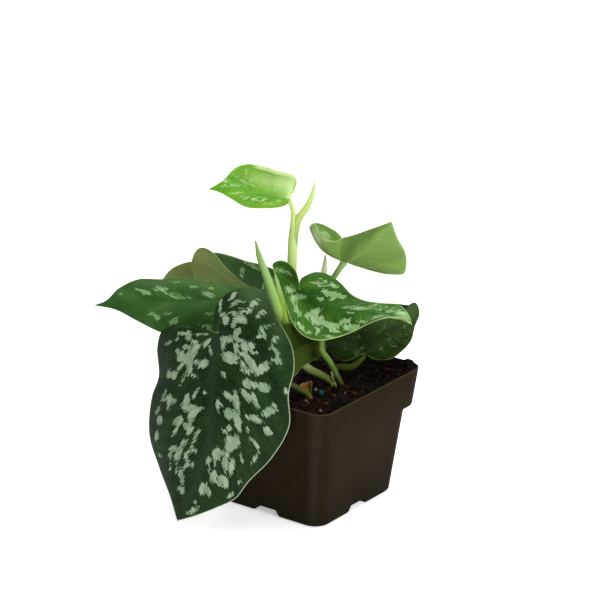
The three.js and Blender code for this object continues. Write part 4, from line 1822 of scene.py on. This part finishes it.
FRONT_LEFT_MARKS = [
    (9, 17.5, 12, 4.5, 106), (14, 19.5, 9, 1.8, 60), (15.5, 10, 5, 1.2, 0), (21, 15, 4, 1.2, 15),
    (18.5, 17.5, 6, 1.6, 25), (22.5, 21, 1.5, 1, 40), (18.8, 23.2, 3, 1.4, 60), (21.5, 25.8, 4, 1.6, -10),
    (25, 24.5, 5, 1.6, 5), (25.3, 29.3, 1.8, 1.2, 0), (28.3, 28.8, 1.5, 0.8, 0), (11, 27, 7, 3, 110),
    (14, 26, 7, 3.5, 60), (17, 28, 4, 3, 70), (25.5, 35, 4, 2.2, 70), (24.5, 38.2, 3, 1.5, -20),
    (27.5, 38, 3, 1.8, 20), (29, 33.8, 2.5, 0.8, 0), (32.5, 39.8, 3.5, 1.4, 60), (34, 38.2, 1.8, 0.9, 0),
    (32, 43.5, 3, 1.3, 30), (35.3, 46, 3, 2, 60), (36, 50, 5, 2.6, 10), (36.2, 48.5, 6, 2, 75),
    (11.5, 36.5, 9, 4, 105), (6.5, 41.8, 8, 4, 0), (12.5, 41, 9, 3, 20), (4.2, 46, 5, 2.4, 80),
    (12, 45.5, 6, 3, 70), (9.5, 52.3, 10, 6.5, 5), (17, 44.5, 7, 3, 45), (20.5, 44.5, 6, 3.5, 90),
    (23.3, 47, 3, 1.6, 0), (18, 49.5, 6, 3, 20), (22, 53.5, 11, 4, 55), (28.5, 55, 9.5, 4.8, -50),
    (17.5, 54.8, 4.5, 2.6, 45), (20.3, 58.5, 4.5, 1.4, 20), (6.8, 62.5, 3, 2, 60),
    (21.5, 64.4, 5.5, 5, 0), (25.5, 64.5, 3.5, 4, 90), (30.5, 64.5, 7, 5, 10), (20, 70.5, 5.5, 4, 30),
    (22, 72.5, 4, 3.5, 60), (26, 72.5, 8, 3, 65), (42.3, 65, 2.8, 1.7, 90), (37, 73.7, 3.4, 1.7, 60),
    (33.5, 77, 7.5, 3.8, -35), (10, 74.3, 6.5, 3.8, 25), (15, 76, 11, 3.8, 80), (4, 82.5, 7, 1.9, 90),
    (5.5, 80.5, 2, 1, 45), (11, 84.5, 6, 6, 0), (15.8, 86.5, 12, 4.2, 75), (26, 82.7, 8.5, 3.6, 0),
    (33, 87.5, 4.5, 4.2, 0), (22.2, 90, 2, 1, 60), (11.7, 92.7, 3, 3.2, 90), (8.8, 95.8, 3, 1.8, 20),
    (24.5, 95, 3, 2, 60), (27, 97, 4.5, 2.2, 60), (13, 101.5, 10, 6, 90), (16.5, 98.5, 8, 3.2, 80),
    (27.8, 104.5, 6.5, 1.9, 105), (20.2, 106.8, 4, 1.3, 70), (6.5, 111, 9, 5, 100), (9, 109, 5, 3, 0),
    (12.2, 107.5, 4, 1.2, 80), (12, 114, 10, 3.4, 75), (15.8, 114.5, 8.5, 3.2, 85), (2.3, 117, 6, 2.6, 85),
    (6.3, 116, 4, 1.2, 90), (7.5, 124.5, 7.5, 4, 80), (4, 122, 2.5, 1, 90), (11.8, 125, 5.5, 3.6, 80),
    (14.8, 124.5, 6, 3, 75), (22, 121, 2.5, 1.3, 100), (19.6, 130.2, 3, 1.6, 110), (4.5, 135, 8.5, 4, 90),
    (8, 134.8, 6, 3, 60), (3.8, 145.5, 2, 1.4, 120), (5, 151.5, 8, 2.2, 115),
]
FRONT_RIGHT_MARKS = [
    (9.5, 22.7, 5, 1.2, 0), (18, 22.7, 6, 4, 95), (22, 21.9, 5, 1.3, 0), (26, 24.9, 2.4, 1.4, 0),
    (32.5, 27, 4.4, 2.2, 10), (6, 27.9, 5, 2.6, 45), (3, 32.4, 3.5, 1.2, 110), (13, 27.2, 6, 2, -25),
    (17.5, 29.6, 6.4, 1.9, -5), (12.5, 31.4, 7, 5, 70), (15, 35.4, 9.5, 6, 60), (20, 35.2, 8, 5, -10),
    (23, 32.3, 5, 2.3, -25), (23, 36.7, 3, 1.5, -20), (20.5, 39.7, 6, 2, 45), (6.5, 39.2, 6.2, 4.8, 15),
    (10.5, 38.6, 4, 2.4, 10), (14, 40.9, 7, 3.8, 80), (12, 45.3, 5, 2, -20), (17, 44.4, 4, 1.9, 60),
    (17.7, 47.4, 6, 1.8, 50), (26.5, 44.9, 5.6, 4.8, 20), (30.5, 44.2, 5, 3.8, 50),
    (9.8, 55.7, 4.4, 1.6, 55),
    (32, 55, 5, 1.8, 50), (28.5, 57.9, 5, 3.6, 0), (27.5, 60.7, 5, 3.5, 45), (24.5, 59.7, 3.5, 2.5, 0),
    (32.3, 59.4, 4, 2.2, 20), (15.5, 59.9, 8, 4, 80), (11.5, 63.9, 9.5, 4.5, 0), (7, 63.4, 3, 1.2, 10),
    (11.5, 67.4, 7, 4.5, 70), (17, 63, 4, 3, -30), (20, 70.9, 7, 5.4, 20), (13.5, 73.7, 8, 4, -25),
    (12, 76.2, 4, 3.5, 60), (21, 75.9, 8, 2.8, 65), (7.2, 77.4, 5, 1.5, 65), (8.5, 80.9, 7, 1.3, 75),
    (15, 83.4, 6.4, 3.2, 55), (17, 88.9, 9.5, 4.6, 80), (21, 86.8, 7, 3.6, 10), (22.6, 90.2, 5, 3, 100),
    (6, 87.2, 2, 1.5, 90), (8.2, 86.4, 3.4, 1.3, 60), (11, 87.9, 4, 1.9, 20), (11.2, 90.9, 6, 1.9, 100),
    (10, 95.4, 6.5, 2.6, 85), (6.2, 94.9, 2.6, 1.3, 100), (12.2, 100.4, 5.8, 2.5, 115),
    (9.3, 104.9, 5.8, 2, 105), (16.5, 95.4, 2.5, 1, 120), (15.5, 98.9, 3, 1, 100),
    (20.5, 98.4, 3.4, 1.5, 100),
    (6, 111.9, 5.2, 2.5, 120), (8.3, 110.7, 3.6, 3, 0), (35, 70.9, 5.4, 5.4, 0), (36.2, 80.4, 5.4, 3.4, 90),
    (37.5, 65.4, 4.4, 1.7, 55), (28.5, 64.7, 2, 1, 20), (32, 91.4, 2.4, 1.5, -20), (3.7, 54.9, 1.6, 1.4, 0),
]
CENTRE_RIGHT_MARKS = [
    (17, 14, 5, 1.5, 20), (12, 12, 4, 1.5, 10), (6.5, 20.5, 6, 4, 30), (10.5, 24, 8, 4, 30),
    (5, 27.5, 8, 4, 10), (10.5, 30, 9, 4.5, 30), (14.5, 36.5, 10, 2.2, 75), (9, 42.5, 11, 4, 10),
    (12, 46, 7, 4.5, 50), (13, 49.5, 6, 5, 80), (12.2, 54, 9, 3.4, 90), (12.5, 58.8, 5, 4.5, 90),
    (8.5, 60.5, 5.5, 3.5, 0), (15.3, 62.5, 5, 2, 90), (7.5, 63.7, 4.5, 2.4, 10), (10, 48.5, 3, 1.4, 60),
    (21, 46.5, 6.5, 1.8, 70), (22, 51.8, 2.6, 2, 60), (17, 51.5, 2, 1, 60), (17.5, 54.2, 3, 0.9, 20),
    (19.8, 62, 4.5, 1.3, 95), (12, 67.5, 7, 4, 60), (12.5, 71.5, 11, 5.5, 80), (7.6, 75, 7, 1.6, 80),
    (0.6, 60, 5, 1.2, 90), (3, 82.5, 7, 3, 110), (2.5, 88.5, 7, 5, 90), (5, 81, 5, 1.8, 60),
]
CENTRE_LEFT_MARKS = [
    (8.5, 14.5, 6.5, 2, 70), (11.6, 17.6, 5, 1.8, 80), (11.8, 23, 4.6, 2, 90), (2.3, 21, 3, 1.5, 90),
    (7, 26, 12, 3.4, 88), (4.5, 27.5, 3.4, 2, 30), (7, 31, 5, 2.6, 90), (1.8, 38, 5, 1.3, 70),
    (2, 44.5, 9, 1.7, 85), (2, 53, 6, 1.1, 90), (6, 52, 6, 1.2, 60), (2.5, 62, 3.4, 1.1, 60),
    (3.5, 66.5, 5, 3.4, 90),
]
LEFT_RIGHT_MARKS = [
    (2.8, 27.3, 5.6, 2.8, 75), (7, 24, 1.9, 1, 90), (8, 34.3, 4, 1.7, 90), (1, 38.3, 2.4, 0.9, 60),
    (1.3, 43.3, 5, 1.4, 80), (3.2, 44, 3, 1.5, 40), (3, 47.3, 5, 1.7, 55), (2, 45.5, 2.5, 1.6, 0),
    (12.8, 42.3, 3.5, 1, 90), (7.8, 53.2, 6, 3, 80), (5.3, 62.3, 5, 2.1, 75), (6.9, 63.5, 4.6, 1.4, 70),
    (5.3, 76, 2.5, 1.2, -20),
]
LEFT_LEFT_MARKS = [
    (8.5, 26, 3, 1.1, 90), (15.3, 28, 5, 1.5, 95), (16.8, 26, 4, 1.4, -40), (19, 25.3, 3.5, 1.2, 10),
    (21, 27.5, 6, 1.7, 75), (16.2, 38, 5.8, 2, 110), (11.5, 45.6, 5, 3.4, 60), (7.3, 50, 2.4, 1, 90),
    (8.4, 56.3, 5, 2, -50), (6.8, 59, 3.8, 2, 80), (9, 12, 6, 2.6, 40), (13, 17, 5, 2.4, 60),
]
YOUNG_LEFT_MARKS = [
    (2.5, 9.5, 2, 1, 60), (2.9, 11.5, 1.8, 0.8, 90), (5.8, 12.5, 2.4, 1, 120), (2.7, 18.8, 2.6, 0.8, 90),
    (4.8, 18.5, 2, 1.2, 0), (4.5, 21.5, 1.8, 1, 90), (5, 23.8, 1.8, 1, 60), (4, 29, 2, 1, 90),
    (4.4, 31.2, 1.6, 0.8, 60), (2, 33.7, 1.6, 0.7, 90), (4.2, 26.5, 1.6, 0.8, 90), (3, 35.5, 1.4, 0.6, 60),
]
YOUNG_RIGHT_MARKS = [
    (2.3, 40.5, 2.4, 0.9, 75), (2.6, 43.5, 1.8, 0.8, 60), (2.2, 48.5, 2, 0.8, 80), (4.6, 45, 1.8, 0.8, 60),
    (4.5, 35, 2, 0.8, 60), (6, 38.5, 2, 0.8, 70), (3.6, 31, 1.8, 0.7, 60), (6.5, 32, 1.6, 0.7, 60),
]
BACK_RIGHT_MARKS = [
    (7, 13.5, 5, 1.6, 120), (12.3, 17.5, 3, 1.8, 10), (8.5, 21.5, 5, 1.2, 120), (1.5, 33, 7, 1.5, 130),
    (2.5, 43, 8, 1.8, 125), (11, 36, 3, 1.8, 60),
]
BACK_LEFT_MARKS = [
    (4.5, 12, 8, 1.3, 100), (13.5, 17, 6, 1.4, 70), (10.2, 26, 2.4, 1.3, 60), (2.8, 40, 7, 1.4, 85),
    (3, 49, 6, 1.4, 100), (18, 34, 6, 2.4, 60), (14, 44, 6, 2.6, 70),
]


LEAVES = [
    Leaf(
        "leaf_front", Tone.DARK, "leaf_dark",
        midrib=[(-18, -55, 110), (-16, -63, 90), (-12, -70, 65), (-14, -76, 37), (-27, -82, 5)],
        left=[
            (-21, -55, 116), (-22, -51, 124), (-19, -45, 130), (-10, -40, 134), (1.2, -38.4, 132.4),
            (12, -42, 122), (23, -43, 108), (26, -45, 96), (26, -50, 83), (28, -52, 66),
            (19, -56, 46), (8, -63, 31), (2, -67, 21), (-7, -73, 15), (-18, -78, 9),
        ],
        right=[
            (-24.4, -55.3, 109.7), (-30.6, -55.4, 109.3), (-40.9, -55.5, 108.8), (-52, -54, 106),
            (-58, -55, 102), (-59, -58, 93), (-55, -62, 78), (-57, -66, 66), (-55, -71, 46),
            (-45, -75, 30), (-34, -79, 16),
        ],
        arch=(4, 4), lobe=(0.36, 0.3), left_marks=FRONT_LEFT_MARKS, right_marks=FRONT_RIGHT_MARKS, seed=3,
        edging=(0.0, 0.85, 0.0, 0.12),
        # painted light: the top lobe painted paler, as where it faces the light
        flushed_and_lit=[Wash(Side.LEFT, 29, 20, 9, 11, 0.38), Wash(Side.LEFT, 36, 34, 6, 14, 0.16)],
    ),
    Leaf(
        "leaf_left", Tone.MID, "leaf_mid",
        midrib=[(-40, -15, 112), (-53, -27, 113), (-67, -41, 113), (-83, -52, 112), (-102, -61, 109)],
        left=[
            (-35, -17, 109), (-29, -17, 105), (-31, -22, 97), (-40, -31, 93), (-53, -42, 94),
            (-65, -49, 98), (-78, -53, 103), (-90, -57, 108),
        ],
        right=[
            (-39, -11, 114), (-35, -5, 115), (-39, -4, 117), (-47, -9, 118), (-59, -15, 119),
            (-70, -20, 120), (-80, -29, 120), (-90, -37, 120), (-96, -47, 116),
            (-98, -55, 111),
        ],
        arch=(4, 3), lobe=(0.27, 0.27), left_marks=LEFT_LEFT_MARKS, right_marks=LEFT_RIGHT_MARKS, seed=5,
        edging=(0.5, 0.4, 0.6, 0.6),
    ),
    Leaf(
        "leaf_cupped", Tone.OLIVE, "leaf_olive",
        midrib=[(-39, 11, 105), (-49, 8, 102), (-62, 4, 102), (-71, 0, 103)],
        left=[
            (-39, 9, 111), (-43, 4, 114), (-49, 2, 118), (-56, 1, 123), (-65, 1, 130),
            (-71, 1, 132), (-76, 1, 131), (-79, 0, 127), (-80, -1, 120), (-76, -2, 112),
        ],
        right=[
            (-36.2, 17.6, 104.3), (-37, 25, 110.5), (-44, 30, 116), (-54, 31, 117), (-64, 29, 118),
            (-74, 24, 121), (-79, 17, 123), (-80, 11, 119), (-77, 5, 112),
        ],
        arch=(-3, -4), lobe=(0.2, 0.2), right_marks=[(23.2, 31.9, 4, 1.9, 0), (26.8, 26.2, 8.5, 1.7, 58)],
        strewn=(9, 7), seed=6,
    ),
    Leaf(
        "leaf_back_left", Tone.OLIVE, "leaf_olive",
        midrib=[(-72, 31, 97), (-84, 25, 98), (-97, 19, 100), (-112, 7, 98)],
        left=[
            (-69, 30, 102), (-72, 28, 109), (-81, 23, 114), (-88, 18, 115), (-94, 15, 115),
            (-101, 11, 112), (-106, 10, 108), (-109, 8, 103),
        ],
        right=[
            (-72, 38, 95), (-79, 46, 94), (-91, 47, 93), (-104, 42, 94), (-111, 30, 96),
            (-113, 18, 97),
        ],
        arch=(-2, 4), lobe=(0.22, 0.22), strewn=(9, 9), seed=7,
    ),
    Leaf(
        "leaf_centre", Tone.BRIGHT, "leaf_bright",
        midrib=[(-4, 0, 122), (10, 2, 116), (25, 7, 114), (42, 15, 114), (56, 23, 108)],
        left=[
            (-6.4, 4.4, 126.4), (-4.6, 7.2, 128.2), (-1, 10, 130), (6, 12, 130), (15, 12, 127),
            (24, 11, 122), (32, 12, 120), (41, 17, 119), (48, 22, 118), (53, 24, 113),
        ],
        right=[
            (-6, 2, 126), (-10, 4, 131), (-16, 5, 134), (-22, 5, 134), (-26, 4, 131),
            (-23, 2, 127), (-17, -1, 121), (-9, -6, 113), (-1, -10, 105), (6, -10, 100),
            (14, -7, 98), (21, 0, 99), (29, 5, 103), (38, 11, 109), (45, 15, 112), (52, 20, 112),
        ],
        arch=(2, -3), lobe=(0.2, 0.26), seed=8,
        left_marks=CENTRE_LEFT_MARKS, right_marks=CENTRE_RIGHT_MARKS,
        edging=(0.15, 0.5, 0.7, 0.9),
        flushed_and_lit=[Wash(Side.RIGHT, 2, 92, 5, 8, 0.6), Wash(Side.LEFT, 2, 69, 4, 6, 0.6)],
        flecked=[Wash(Side.LEFT, 4, 50, 4, 22, 0.45), Wash(Side.RIGHT, 4, 80, 4, 12, 0.45)],
    ),
    Leaf(
        "leaf_shaded", Tone.SHADED, "leaf_olive",
        midrib=[(6, 3, 94), (1, -8, 90), (-3, -23, 86), (-9, -38, 80)],
        left=[
            (5, 4, 98), (2, 1, 102), (-1, -7, 105), (-5, -14, 106), (-9, -23, 104), (-11, -30, 97),
            (-11, -35, 88),
        ],
        right=[
            (8, 8, 92), (9, 7, 87), (8, 1, 84), (6, -7, 82), (5, -10, 81), (5, -15, 78),
            (2, -25, 75), (-3, -33, 75),
        ],
        arch=(2, 2), lobe=(0.24, 0.24), strewn=(7, 7), seed=9,
    ),
    Leaf(
        "leaf_back_right", Tone.SHADED, "leaf_dark",
        midrib=[(24, 24, 83), (23, 37, 86), (23, 52, 91), (21, 71, 97)],
        left=[
            (22, 20, 82), (18, 14, 80), (10, 14, 81), (0, 19, 84), (-4, 28, 89), (-2, 42, 94),
            (3, 56, 97), (11, 67, 97),
        ],
        right=[
            (27, 23, 82), (31, 26, 80), (36, 31, 80), (36, 42, 81), (35, 53, 84), (30, 64, 88),
            (25, 76, 92), (19, 81, 95),
        ],
        arch=(2, 3), lobe=(0.25, 0.25), left_marks=BACK_LEFT_MARKS, right_marks=BACK_RIGHT_MARKS, seed=10,
        edging=(0.5, 0.3, 0.5, 0.4),
        flushed_and_lit=[Wash(Side.RIGHT, 8, 52, 16, 16, 0.35), Wash(Side.LEFT, 8, 52, 16, 16, 0.35)],
        flecked=[Wash(Side.RIGHT, 16, 34, 16, 20, 0.8), Wash(Side.LEFT, 14, 34, 12, 18, 0.4)],
    ),
    Leaf(
        "leaf_upper_right", Tone.FRESH, "leaf_bright",
        midrib=[(7, 27, 133), (18, 23, 141), (31, 19, 152), (55, 4, 173)],
        left=[
            (9, 32, 130), (12, 40, 126), (17, 51, 121), (19, 58, 119), (26, 58, 121), (30, 55, 128),
            (38, 42, 141), (45, 24, 156),
        ],
        right=[
            (1, 36, 136), (-5, 42, 140), (-9, 42, 143), (-11, 37, 147), (-12, 30, 151),
            (-12, 23, 153), (-10, 17, 153), (-4, 15, 156), (-2, 15, 153), (0, 15, 150),
            (3, 16, 148), (8, 18, 148), (11, 20, 150), (16, 21, 152), (33, 14, 161), (46, 8, 168),
        ],
        arch=(0, -4), lobe=(0.3, 0.64), strewn=(16, 12), seed=11,
        # painted light: a strip of the underside painted paler, as where it is lit
        flushed_and_lit=[Wash(Side.RIGHT, 22, 31, 9, 6, 1.0)],
        flecked=[Wash(Side.RIGHT, 21, 22, 8, 5, 0.7)],
    ),
    Leaf(
        "leaf_young", Tone.LIME, "leaf_lime",
        midrib=[(-23, 16, 167), (-36, 12, 168), (-49, 5, 170), (-62, -7, 171)],
        left=[
            (-22, 13, 165), (-24, 8, 164), (-30, 1, 164), (-38, -4, 164.5), (-47, -5.6, 167.8),
            (-56, -5.6, 170.2),
        ],
        right=[
            (-22.6, 20, 171), (-22.8, 22.6, 176.6), (-25.4, 21.6, 179.3), (-33, 18, 181), (-41, 15, 183),
            (-48, 10, 184), (-53, 6, 182), (-56, -2, 176),
        ],
        arch=(-2, -2.3), lobe=(0.16, 0.2), left_marks=YOUNG_LEFT_MARKS, right_marks=YOUNG_RIGHT_MARKS,
        strewn=(3, 6), mark_size=0.3, seed=12, fold=2.0, edging=(0.5, 0.4, 0.3, 0.2),
        flushed_and_lit=[
            Wash(Side.RIGHT, 6, 3, 14, 10, 0.9), Wash(Side.RIGHT, 8, 12, 8, 12, 0.55),
            Wash(Side.RIGHT, 8, 24, 6, 12, 0.35),
        ],
        flecked=[
            Wash(Side.RIGHT, 4, 36, 6, 14, 0.5), Wash(Side.RIGHT, 8, 24, 6, 10, 0.3),
            Wash(Side.LEFT, 5, 13, 5, 8, 0.4), Wash(Side.LEFT, 6, 27, 5, 12, 0.5),
        ],
    ),
]


# ---------------------------------------------------------------- studio


@dataclass(frozen=True)
class SoftLight:
    """A square light. Its place, its aim and the length of its side are in metres, its power in watts."""

    name: str
    place: Point
    size: float
    power: float
    aim: Point = (0.0, 0.0, 0.1)

    def build(self) -> None:
        """Hangs the light."""
        data = bpy.data.lights.new(self.name, "AREA")
        data.size = self.size
        data.energy = self.power
        made = bpy.data.objects.new(self.name, data)
        made.location = self.place
        made.rotation_mode = "QUATERNION"
        made.rotation_quaternion = (Vector(self.aim) - Vector(self.place)).to_track_quat("-Z", "Y")
        bpy.context.scene.collection.objects.link(made)


@dataclass
class Studio:
    """The camera, a pale floor and soft lights."""

    azimuth: float = 36.7
    elevation: float = 20.4
    distance: float = 1600
    target: Point = (-3.7, 0.0, 115.9)
    lens: float = 172.8
    sensor: float = 36.0
    floor_half: float = 6.0  # metres
    floor_shade: float = 0.93
    floor_glow: float = 0.42
    sky: float = 0.14
    lights: Sequence[SoftLight] = (
        SoftLight("top", (0.0, 0.3, 2.0), 2.4, 42.0),
        SoftLight("right", (1.3, -0.35, 0.75), 0.8, 17.5),
        SoftLight("left", (-1.1, -1.3, 0.9), 0.8, 2.6),
        SoftLight("back", (-0.85, 1.15, 1.3), 1.2, 16.0, aim=(-0.85, 1.15, 0.0)),
    )

    def back(self) -> np.ndarray:
        """Returns: the direction from the target to the camera."""
        a, e = math.radians(self.azimuth), math.radians(self.elevation)
        return np.array([math.sin(a) * math.cos(e), -math.cos(a) * math.cos(e), math.sin(e)])

    def camera(self) -> None:
        """Sets the scene's camera, which looks at the target from its distance."""
        data = bpy.data.cameras.new("camera")
        data.lens = self.lens
        data.sensor_width = self.sensor
        data.clip_end = 100.0
        made = bpy.data.objects.new("camera", data)
        made.location = (np.array(self.target) + CENTRE + self.back() * self.distance) * MM
        made.rotation_mode = "QUATERNION"
        made.rotation_quaternion = Vector(-self.back()).to_track_quat("-Z", "Y")
        bpy.context.scene.collection.objects.link(made)
        bpy.context.scene.camera = made

    def floor(self) -> None:
        """Lays the floor, as stage."""
        half = self.floor_half
        corners = [(-half, -half, 0), (half, -half, 0), (half, half, 0), (-half, half, 0)]
        mesh = bpy.data.meshes.new("floor")
        mesh.from_pydata(corners, [], [(0, 1, 2, 3)])
        finish = Graph("floor").finish(
            Base_Color=(self.floor_shade,) * 3,
            Roughness=0.9,
            Specular_IOR_Level=0.1,
            Emission_Color=(1.0, 1.0, 1.0),
            Emission_Strength=self.floor_glow,
        )
        mesh.materials.append(finish)
        made = bpy.data.objects.new("floor", mesh)
        bpy.context.scene.collection.objects.link(made)

    def build(self) -> None:
        """Makes the studio."""
        self.camera()
        self.floor()
        world = bpy.data.worlds.new("studio")
        world.use_nodes = True
        background = world.node_tree.nodes["Background"]
        background.inputs["Color"].default_value = (1.0, 1.0, 1.0, 1.0)
        background.inputs["Strength"].default_value = self.sky
        bpy.context.scene.world = world
        for light in self.lights:
            light.build()
        bpy.context.scene.view_settings.view_transform = "Standard"


def main() -> None:
    """Builds the studio and then each sub-assembly."""
    logging.basicConfig(level=logging.INFO, format="%(name)s %(message)s")
    Studio().build()
    pot = NurseryPot()
    pot.build()
    soil = Soil(pot)
    soil.build()
    FertiliserBead(soil).build()
    for stem in STEMS:
        stem.build()
    Husk().build()
    for leaf in LEAVES:
        leaf.build()


if __name__ == "__main__":
    main()
